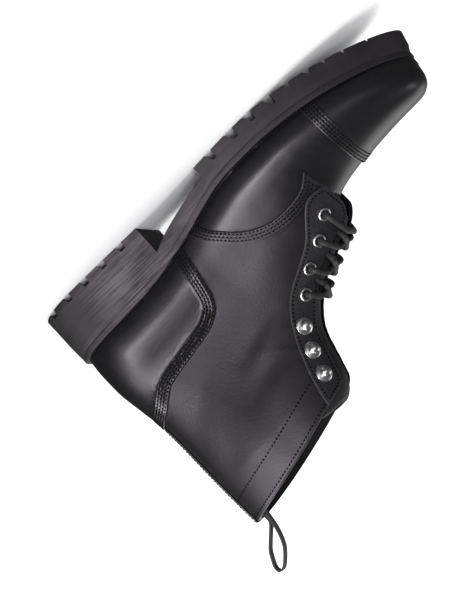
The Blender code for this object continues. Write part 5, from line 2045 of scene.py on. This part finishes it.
    def _footbed(self) -> Object:
        """The footbed, inside the upper's lower edge."""
        last, shape = self.last, self.last.sole
        inset = PANEL_TOP + UPPER_WALL + self.footbed_gap
        start, end = last.back_x + inset, last.toe_x - inset - self.footbed_gap
        stations = self._stations(start, end, 0.034, shape.toe_start)
        centre = shape.centre(stations)
        share = np.linspace(0, 1, 17)
        bowl = self.footbed_bowl * (2 * share - 1) ** 4
        under, over = [], []
        for x, middle in zip(stations, centre):
            low = float(shape.top(x)) + GAP
            end_share = min(1.0, math.sqrt(max(min(x - start, end - x), 0.0) / 0.010 + 0.02))
            halves = [float(last.side_width(np.array(x), np.array(low), side)) - inset
                      for side in (-1, 1)]
            right, left = -max(halves[0], 0.0015) * end_share, max(halves[1], 0.0015) * end_share
            y = middle + right + (left - right) * share
            under += [(x, a, low) for a in y]
            over += [(x, a, low + self.footbed_thickness - 0.0008 + b) for a, b in zip(y, bowl)]
        count, columns, shift = len(stations), len(share), len(under)
        faces = grid_faces(count, columns)
        faces += [tuple(corner + shift for corner in face[::-1]) for face in faces]
        rim = [i * columns for i in range(count)], [(i + 1) * columns - 1 for i in range(count)]
        rim += list(range(columns)), list(range(shift - columns, shift))
        faces += [(a, b, b + shift, a + shift) for line in rim for a, b in zip(line, line[1:])]
        mesh = make_mesh("insole", np.array(under + over), faces)
        return seat(finished("footbed", mesh, FOOTBED_CLOTH.material()), "footbed", "insole")


# ---- fasteners
@dataclass(frozen=True)
class Place:
    """A place in the side view, in stations."""

    x: float
    z: float


EYELETS = [Place(0.1905, 0.0795), Place(0.1757, 0.0892), Place(0.1583, 0.0982),
           Place(0.1448, 0.1089)]
HOOKS = [Place(0.1299, 0.1235), Place(0.1234, 0.1390), Place(0.1187, 0.1553)]


@dataclass
class Fasteners:
    """Eyelets and speed hooks down both facings."""

    last: Last
    clearance: float = 0.0010
    hook_clearance: float = 0.00085
    # Turned outlines: (radius, height over the seat), from the outside round.
    eyelet_ring: Line = (
        (0.0046, -0.0009), (0.00462, 0.0), (0.0045, 0.0004), (0.0042, 0.00072), (0.0038, 0.00088),
        (0.00335, 0.0009), (0.00295, 0.0007), (0.00262, 0.0002), (0.00245, -0.0006),
        (0.0024, -0.0042), (0.0029, -0.0042), (0.0031, -0.0010))
    hook_outline: Line = (
        (0.0, -0.0006), (0.00560, -0.0006), (0.00585, 0.0), (0.00580, 0.0004), (0.00545, 0.0007),
        (0.0044, 0.0009), (0.0030, 0.0011), (0.0021, 0.0015), (0.0018, 0.0022), (0.0022, 0.0028),
        (0.0032, 0.0031), (0.00372, 0.0034), (0.00375, 0.0038), (0.00355, 0.0046), (0.0030, 0.0053),
        (0.0020, 0.0059), (0.0010, 0.0062), (0.0, 0.0063))

    def frame(self, place: Place, side: Side, offset: float) -> tuple[Array, Array]:
        """Point and normal of the raised form at a place."""
        s, w = self.last.find(place.x, place.z, side)
        return self.last.shell(s, w, offset, True), self.last.normal(s, w, True)

    @staticmethod
    def turned(name: str, centre: Array, normal: Array, outline: Line, ring: bool) -> Mesh:
        """A turned solid.

        Args:
            name: the mesh's name.
            centre: the point that its heights are measured from.
            normal: its axis.
            outline: (radius, height) corners, from the outside round.
            ring: whether the outline is closed.

        Returns:
            The mesh.
        """
        first = np.cross(normal, (0.0, 0.0, 1.0))
        first /= np.linalg.norm(first)
        second = np.cross(normal, first)
        points, segments = [], 40
        for k in range(segments):
            angle = 2 * math.pi * k / segments
            out = math.cos(angle) * first + math.sin(angle) * second
            points += [centre + out * radius + normal * height for radius, height in outline]
        faces = grid_faces(segments, len(outline), True, ring)
        return make_mesh(name, np.array(points), faces)

    def build(self) -> list[Object]:
        """Builds the eyelets and hooks."""
        metal = NICKEL.material()
        made = []
        for side in Side:
            for kind, places, outline, ring, lift in (
                    ("eyelet", EYELETS, self.eyelet_ring, True, self.clearance),
                    ("hook", HOOKS, self.hook_outline, False, self.hook_clearance)):
                for number, place in enumerate(places, 1):
                    point, normal = self.frame(place, side, COVER_TOP + lift)
                    name = f"{kind}_{side.label}_{number}"
                    mesh = self.turned(name, point, normal, outline, ring)
                    made.append(seat(finished(f"plated_{name}", mesh, metal, 40.0), "nickel", name))
        return made


# ---- lace
@dataclass
class Lace:
    """One lace, run crosswise through the eyelets; its hidden ends stop at the top pair."""

    last: Last
    radius: float = 0.0022
    run: float = 0.70  # how far toward the lower eyelet a strand gets before it dives
    ride: float = 0.0011  # how much one strand rides over the other
    spacing: float = 0.0008
    lift: float = 0.0009  # gap between the lace and a facing's edge
    over: float = 0.0023  # and between it and an eyelet's seat

    @property
    def under(self) -> float:
        """Height of the lace's middle under the facings."""
        return -UPPER_WALL - self.radius - 0.0004

    def _place(self, s: float, w: float, offset: float) -> Array:
        """A point over the raised facings."""
        return self.last.shell(s, w, offset, True)

    def _edge(self, s: float, side: Side) -> float:
        """The girth just over a facing's edge."""
        half = self.last.throat_half(self.last.section["top_z"](np.array([s])))
        return float(self.last.crown_girth(np.array([s]), half)[0]) * side.value * 0.93

    def _out_of(self, s: float, w: float, leave_s: float, leave_w: float) -> list[Array]:
        """Points from under an eyelet out through it, to the facing's edge.

        Args:
            s: the eyelet's section.
            w: its girth.
            leave_s: section where the lace crosses the edge.
            leave_w: girth of the edge there.

        Returns:
            The points.
        """
        high = COVER_TOP + self.over + self.radius
        between = self._place((s + leave_s) / 2, (w + leave_w) / 2, high)
        return [self._place(s, w, self.under), self._place(s, w, 0.0012),
                self._place(s, w, high - self.lift) * 0.75 + between * 0.25, between,
                self._place(leave_s, leave_w, COVER_TOP + self.radius + self.lift)]

    @staticmethod
    def _bridge(first: Array, last: Array, rise: Array) -> list[Array]:
        """Three points from one edge of the throat to the other, the middle one raised."""
        middle = (first + last) / 2 + rise
        return [first * 0.5 + middle * 0.5, middle, middle * 0.5 + last * 0.5]

    def _strand(self, side: Side, number: int) -> Array:
        """One strand, from under its eyelet down to under the far facing.

        Args:
            side: the side that it starts on.
            number: index of its eyelet.

        Returns:
            (n, 3) control points.
        """
        here, next_ = EYELETS[number], EYELETS[number - 1]
        far = Side(-side.value)
        s, w = self.last.find(here.x, here.z, side)
        goal_s, _ = self.last.find(here.x + (next_.x - here.x) * self.run,
                                   here.z + (next_.z - here.z) * self.run, far)
        next_s, next_w = self.last.find(next_.x, next_.z, far)
        leave_s = s + 0.26 * (goal_s - s)
        far_w = self._edge(goal_s, far)
        points = self._out_of(s, w, leave_s, self._edge(leave_s, side))
        arrive = self._place(goal_s, far_w, COVER_TOP + self.radius + self.lift)
        rise = np.array((self.ride * 0.4, 0.0, self.ride)) * (side is Side.MEDIAL)
        points += [*self._bridge(points[-1], arrive, rise), arrive,
                   self._place(goal_s - 0.05, far_w * 1.22, 0.0008),
                   self._place(goal_s + 0.2 * (next_s - goal_s), far_w * 1.6, self.under + 0.0008),
                   self._place(goal_s + 0.6 * (next_s - goal_s), (far_w + next_w) / 2, self.under)]
        return np.array(points)

    def build(self) -> list[Object]:
        """Builds both chains of strands and the bar across the lowest eyelets."""
        chains, ends = [], []
        down = range(len(EYELETS) - 1, 0, -1)
        for side in Side:
            chains.append(np.vstack([self._strand(Side(side.value * (-1) ** turn), number)
                                     for turn, number in enumerate(down)]))
            s, w = self.last.find(EYELETS[0].x, EYELETS[0].z, side)
            ends.append(self._out_of(s, w, s, self._edge(s, side)))
        last, first = ends
        bar = [*first, *self._bridge(first[-1], last[-1], np.zeros(3)), *last[::-1]]
        path = smooth_path(np.vstack([chains[0], bar, chains[1][::-1]]), self.spacing)
        mesh = tube_mesh("lace", path, self.radius, 14)
        names = [f"lace_crossing_{n + 1}" for n in range(len(EYELETS))]
        return [seat(finished("lace", mesh, LACE_BRAID.material(), 60.0), "cord", *names)]


# ---- pull loop
@dataclass
class PullLoop:
    """A webbing loop sewn inside the back of the collar."""

    half_width: float = 0.0050
    thickness: float = 0.0014
    middle_line: Line = (
        (0.0205, 0.1850), (0.0203, 0.1930), (0.0203, 0.2005), (0.0155, 0.2060), (0.0105, 0.2109),
        (0.0068, 0.2150), (0.0042, 0.2198), (0.0021, 0.2245), (0.0019, 0.2279), (0.0032, 0.2294),
        (0.0060, 0.2291), (0.0109, 0.2250), (0.0162, 0.2186), (0.0197, 0.2098), (0.0218, 0.1990),
        (0.0228, 0.1850))

    def build(self) -> list[Object]:
        """Builds the loop."""
        path = smooth_path(np.array(self.middle_line), 0.0007)
        ahead = np.gradient(path, axis=0)
        ahead /= np.linalg.norm(ahead, axis=1, keepdims=True)
        side = np.stack([ahead[:, 1], -ahead[:, 0]], axis=1)
        half, thick = self.half_width, self.thickness / 2
        right = [(half - 0.0004, -thick), (half - 0.0001, -thick * 0.6), (half, 0.0),
                 (half - 0.0001, thick * 0.6), (half - 0.0004, thick)]
        ring = [(-half + 0.0004, -thick), *right, *((-y, up) for y, up in right[:0:-1])]
        points = [(x + dx * up, y, z + dz * up) for (x, z), (dx, dz) in zip(path, side)
                  for y, up in ring]
        count, last = len(ring), len(path) * len(ring)
        faces = grid_faces(len(path), count, round_columns=True)
        faces += [tuple(range(count)), tuple(range(last - count, last))]
        mesh = make_mesh("pull_loop", np.array(points), faces)
        return [seat(finished("loop_tape", mesh, LOOP_TAPE.material()), "webbing", "pull_loop")]


# ---- stitches
@dataclass
class Stitching:
    """Rows of thread stitches, laid by one Geometry Nodes group."""

    pitch: float = 0.0027
    stitch: float = 0.0020
    thickness: float = 0.0014
    sink: float = 0.0009

    def _group(self) -> bpy.types.NodeTree:
        """The node group that lays a stitch at an even pitch along each line.

        Returns:
            The group, whose inputs are named for the stitches' sizes.
        """
        tree = bpy.data.node_groups.new("stitch_rows", "GeometryNodeTree")
        for label, kind in (("Rows", "Geometry"), ("Pitch", "Float"), ("Stitch length", "Float"),
                            ("Thread thickness", "Float"), ("Thread", "Material")):
            tree.interface.new_socket(label, in_out="INPUT", socket_type="NodeSocket" + kind)
        tree.interface.new_socket("Stitches", in_out="OUTPUT", socket_type="NodeSocketGeometry")

        def add(kind: str, settings: dict[str, str] | None = None,
                **inputs: object) -> NodeSocket | None:
            """Adds a node and gives its first output, where it has one."""
            node = tree.nodes.new(kind)
            for key, value in (settings or {}).items():
                setattr(node, key, value)
            for key, value in inputs.items():
                socket = node.inputs[key.replace("_", " ")]
                if isinstance(value, NodeSocket):
                    tree.links.new(value, socket)
                else:
                    socket.default_value = value
            return next((socket for socket in node.outputs if socket.enabled), None)

        given = tree.nodes.new("NodeGroupInput").outputs
        curve = add("GeometryNodeMeshToCurve", Mesh=given["Rows"])
        even = add("GeometryNodeResampleCurve", {"mode": "LENGTH"}, Curve=curve,
                   Length=given["Pitch"])
        up = add("GeometryNodeInputNamedAttribute", {"data_type": "FLOAT_VECTOR"}, Name="up")
        along = add("FunctionNodeAlignRotationToVector", {"axis": "X"},
                    Vector=add("GeometryNodeInputTangent"))
        turned = add("FunctionNodeAlignRotationToVector", {"axis": "Z", "pivot_axis": "X"},
                     Rotation=along, Vector=up)
        bead = add("GeometryNodeMeshUVSphere", Segments=6, Rings=5, Radius=0.5)
        size = add("ShaderNodeCombineXYZ", X=given["Stitch length"], Y=given["Thread thickness"],
                   Z=given["Thread thickness"])
        sized = add("GeometryNodeTransform", Geometry=bead, Scale=size)
        laid = add("GeometryNodeInstanceOnPoints", Points=even, Instance=sized, Rotation=turned)
        solid = add("GeometryNodeRealizeInstances", Geometry=laid)
        smooth = add("GeometryNodeSetShadeSmooth", Geometry=solid)
        coloured = add("GeometryNodeSetMaterial", Geometry=smooth, Material=given["Thread"])
        add("NodeGroupOutput", Stitches=coloured)
        return tree

    def build(self, rows: Sequence[SeamRow]) -> list[Object]:
        """Lays every row's stitches as one piece.

        Args:
            rows: the rows.

        Returns:
            The finished piece.
        """
        points, ups, edges = [], [], []
        for row in rows:
            base = len(points)
            lifted = row.points + row.ups * (self.thickness / 2 - self.sink)
            points += (lifted - (ORIGIN_STATION, 0.0, 0.0)).tolist()
            ups.append(row.ups)
            edges += [(base + k, base + k + 1) for k in range(len(row.points) - 1)]
        lines = bpy.data.meshes.new("stitch_lines")
        lines.from_pydata(points, edges, [])
        layer = lines.attributes.new("up", "FLOAT_VECTOR", "POINT")
        layer.data.foreach_set("vector", np.vstack(ups).astype(np.float32).ravel())
        carrier = linked("thread_rows", lines)
        modifier = carrier.modifiers.new("stitches", "NODES")
        modifier.node_group = self._group()
        wanted = {"Pitch": self.pitch, "Stitch length": self.stitch,
                  "Thread thickness": self.thickness, "Thread": BLACK_THREAD.material()}
        for item in modifier.node_group.interface.items_tree:
            if item.in_out == "INPUT" and item.name in wanted:
                modifier[item.identifier] = wanted[item.name]
        apply_modifiers(carrier)
        return [seat(carrier, "vamp")]


# ---- studio
@dataclass(frozen=True)
class Lamp:
    """A light that hangs off the boot; its angles are in degrees."""

    name: str
    climb: float  # height angle
    turn: float  # compass angle
    power: float
    spread: float = 0.0  # how wide a sky light is
    size: tuple[float, float] = (0.0, 0.0)  # how wide and tall a soft box is


SKIES = (Lamp("outer_sky", 12, 83, 4.4, spread=30), Lamp("inner_sky", 76, -115, 2.25, spread=70))
BOXES = (Lamp("front_strip", 5, 71, 3.4, size=(1.60, 0.26)),
         Lamp("rear_strip", 5, 116, 25.0, size=(1.05, 0.28)),
         Lamp("shaft_box", 24, 150, 33.0, size=(0.75, 0.55)),
         Lamp("rim_box", 28, -93, 6.0, size=(1.80, 0.90)),
         Lamp("inner_box", 40, -125, 6.0, size=(0.80, 0.55)),
         Lamp("toe_box", 46, -18, 3.0, size=(0.60, 0.60)),
         Lamp("heel_box", 24, 192, 2.0, size=(0.60, 0.60)))


@dataclass
class Studio:
    """A pale floor and backdrop in one sweep, soft lights and the camera."""

    aim: tuple[float, float, float] = (0.1076, 0.0, 0.095)
    turn: float = 7.156  # degrees that the camera is turned from square on
    climb: float = 6.892  # degrees that it looks down
    roll: float = 42.93
    distance: float = 1.550
    lens: float = 139.3
    shift_across: float = -0.0467  # how far the frame's middle lies from the aim
    shift_up: float = -0.0171
    sky: float = 0.06  # strength of the even light
    middle: tuple[float, float, float] = (0.10, 0.0, 0.08)  # what the lamps are turned to

    def build(self) -> None:
        """Sets the floor, the light and the camera."""
        bpy.context.scene.view_settings.view_transform = "Standard"
        self._floor()
        self._world()
        self._lights()
        self._camera()

    def _floor(self) -> None:
        """A round pale floor whose rim curves up into a wall."""
        turns = np.linspace(0, math.pi / 2, 9)
        bend, reach, height = 0.8, 2.6, 3.0
        profile = [(0.02, 0.0), (0.6, 0.0), (reach - bend, 0.0)]
        profile += [(reach - bend + bend * math.sin(turn), bend * (1 - math.cos(turn)))
                    for turn in turns[1:]]
        profile.append((reach, height))
        segments, count = 96, len(profile)
        points = [(radius * math.cos(angle), radius * math.sin(angle), z)
                  for angle in 2 * math.pi * np.arange(segments) / segments
                  for radius, z in profile]
        faces = grid_faces(segments, count, round_rows=True)
        faces.append(tuple(k * count for k in range(segments)))
        mesh = bpy.data.meshes.new("sweep")
        mesh.from_pydata(points, [], faces)
        with edited(mesh) as work:
            bmesh.ops.recalc_face_normals(work, faces=work.faces)
            work.faces.ensure_lookup_table()
            if work.faces[len(faces) - 1].normal.z < 0:
                bmesh.ops.reverse_faces(work, faces=work.faces)
        sweep = finished("sweep", mesh, FLOOR_PAPER.material())
        sweep.visible_glossy = False
        sweep.visible_shadow = False  # its wall lets the low light in

    def _world(self) -> None:
        """An even pale sky."""
        world = bpy.data.worlds.new("studio")
        bpy.context.scene.world = world
        world.use_nodes = True
        sky = world.node_tree.nodes["Background"]
        sky.inputs["Color"].default_value = (1.0, 1.0, 1.0, 1.0)
        sky.inputs["Strength"].default_value = self.sky

    def _lights(self) -> None:
        """Even light for the floor, and soft boxes that give the leather its sheen."""
        for lamp in SKIES:
            light = bpy.data.lights.new(lamp.name, "SUN")
            light.energy, light.angle = lamp.power, math.radians(lamp.spread)
            self._hang(light, lamp, 2.0).visible_glossy = False
        for lamp in BOXES:
            light = bpy.data.lights.new(lamp.name, "AREA")
            light.shape, light.energy = "RECTANGLE", lamp.power
            light.size, light.size_y = lamp.size
            self._hang(light, lamp, 1.6).visible_diffuse = False

    def _hang(self, light: bpy.types.Light, lamp: Lamp, distance: float) -> Object:
        """Hangs a light in its place and turns it to the boot.

        Args:
            light: the light.
            lamp: its place.
            distance: how far off it hangs.

        Returns:
            The light's object.
        """
        rise, round_ = math.radians(lamp.climb), math.radians(lamp.turn)
        away = Vector((math.cos(rise) * math.cos(round_), math.cos(rise) * math.sin(round_),
                       math.sin(rise)))
        level = Vector((-math.sin(round_), math.cos(round_), 0.0))
        item = linked(lamp.name, light)
        item.location = Vector(self.middle) + away * distance
        item.rotation_euler = Matrix((level, away.cross(level), away)).transposed().to_euler()
        return item

    def _camera(self) -> None:
        """The camera, rolled over."""
        turn, climb, roll = (math.radians(angle) for angle in (self.turn, self.climb, self.roll))
        back = Vector((math.cos(climb) * math.sin(turn), math.cos(climb) * math.cos(turn),
                       math.sin(climb)))
        level = Vector((math.cos(turn), -math.sin(turn), 0.0))
        rise = Vector((-math.sin(climb) * math.sin(turn), -math.sin(climb) * math.cos(turn),
                       math.cos(climb)))
        aim = Vector(self.aim)
        place = aim + self.distance * back
        away = (place - aim - self.shift_across * level - self.shift_up * rise).normalized()
        right = math.cos(roll) * level + math.sin(roll) * rise
        right = (right - away * right.dot(away)).normalized()
        camera = bpy.data.cameras.new("camera")
        camera.lens, camera.sensor_width, camera.sensor_fit = self.lens, 36.0, "AUTO"
        item = linked("camera", camera)
        axes = Matrix((right, away.cross(right), away)).transposed().to_4x4()
        item.matrix_world = Matrix.Translation(place) @ axes
        bpy.context.scene.camera = item


# ---- the boot
@dataclass
class Boot:
    """The whole boot."""

    sole_shape: SoleShape = field(default_factory=SoleShape)

    def build(self) -> None:
        """Builds every sub-assembly."""
        last = Last(self.sole_shape)
        uppers, sole = Uppers(PanelCutter(last)), Sole(last)
        pieces = uppers.build()
        for part in (Tongue(last), sole, Fasteners(last), Lace(last), PullLoop()):
            pieces += part.build()
        pieces += Stitching().build(uppers.seams + sole.seams)
        LOG.info("%d pieces", len(pieces))


def main() -> None:
    """Builds the scene."""
    logging.basicConfig(level=logging.INFO, format="%(name)s: %(message)s")
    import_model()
    Boot().build()
    Studio().build()


if __name__ == "__main__":
    main()
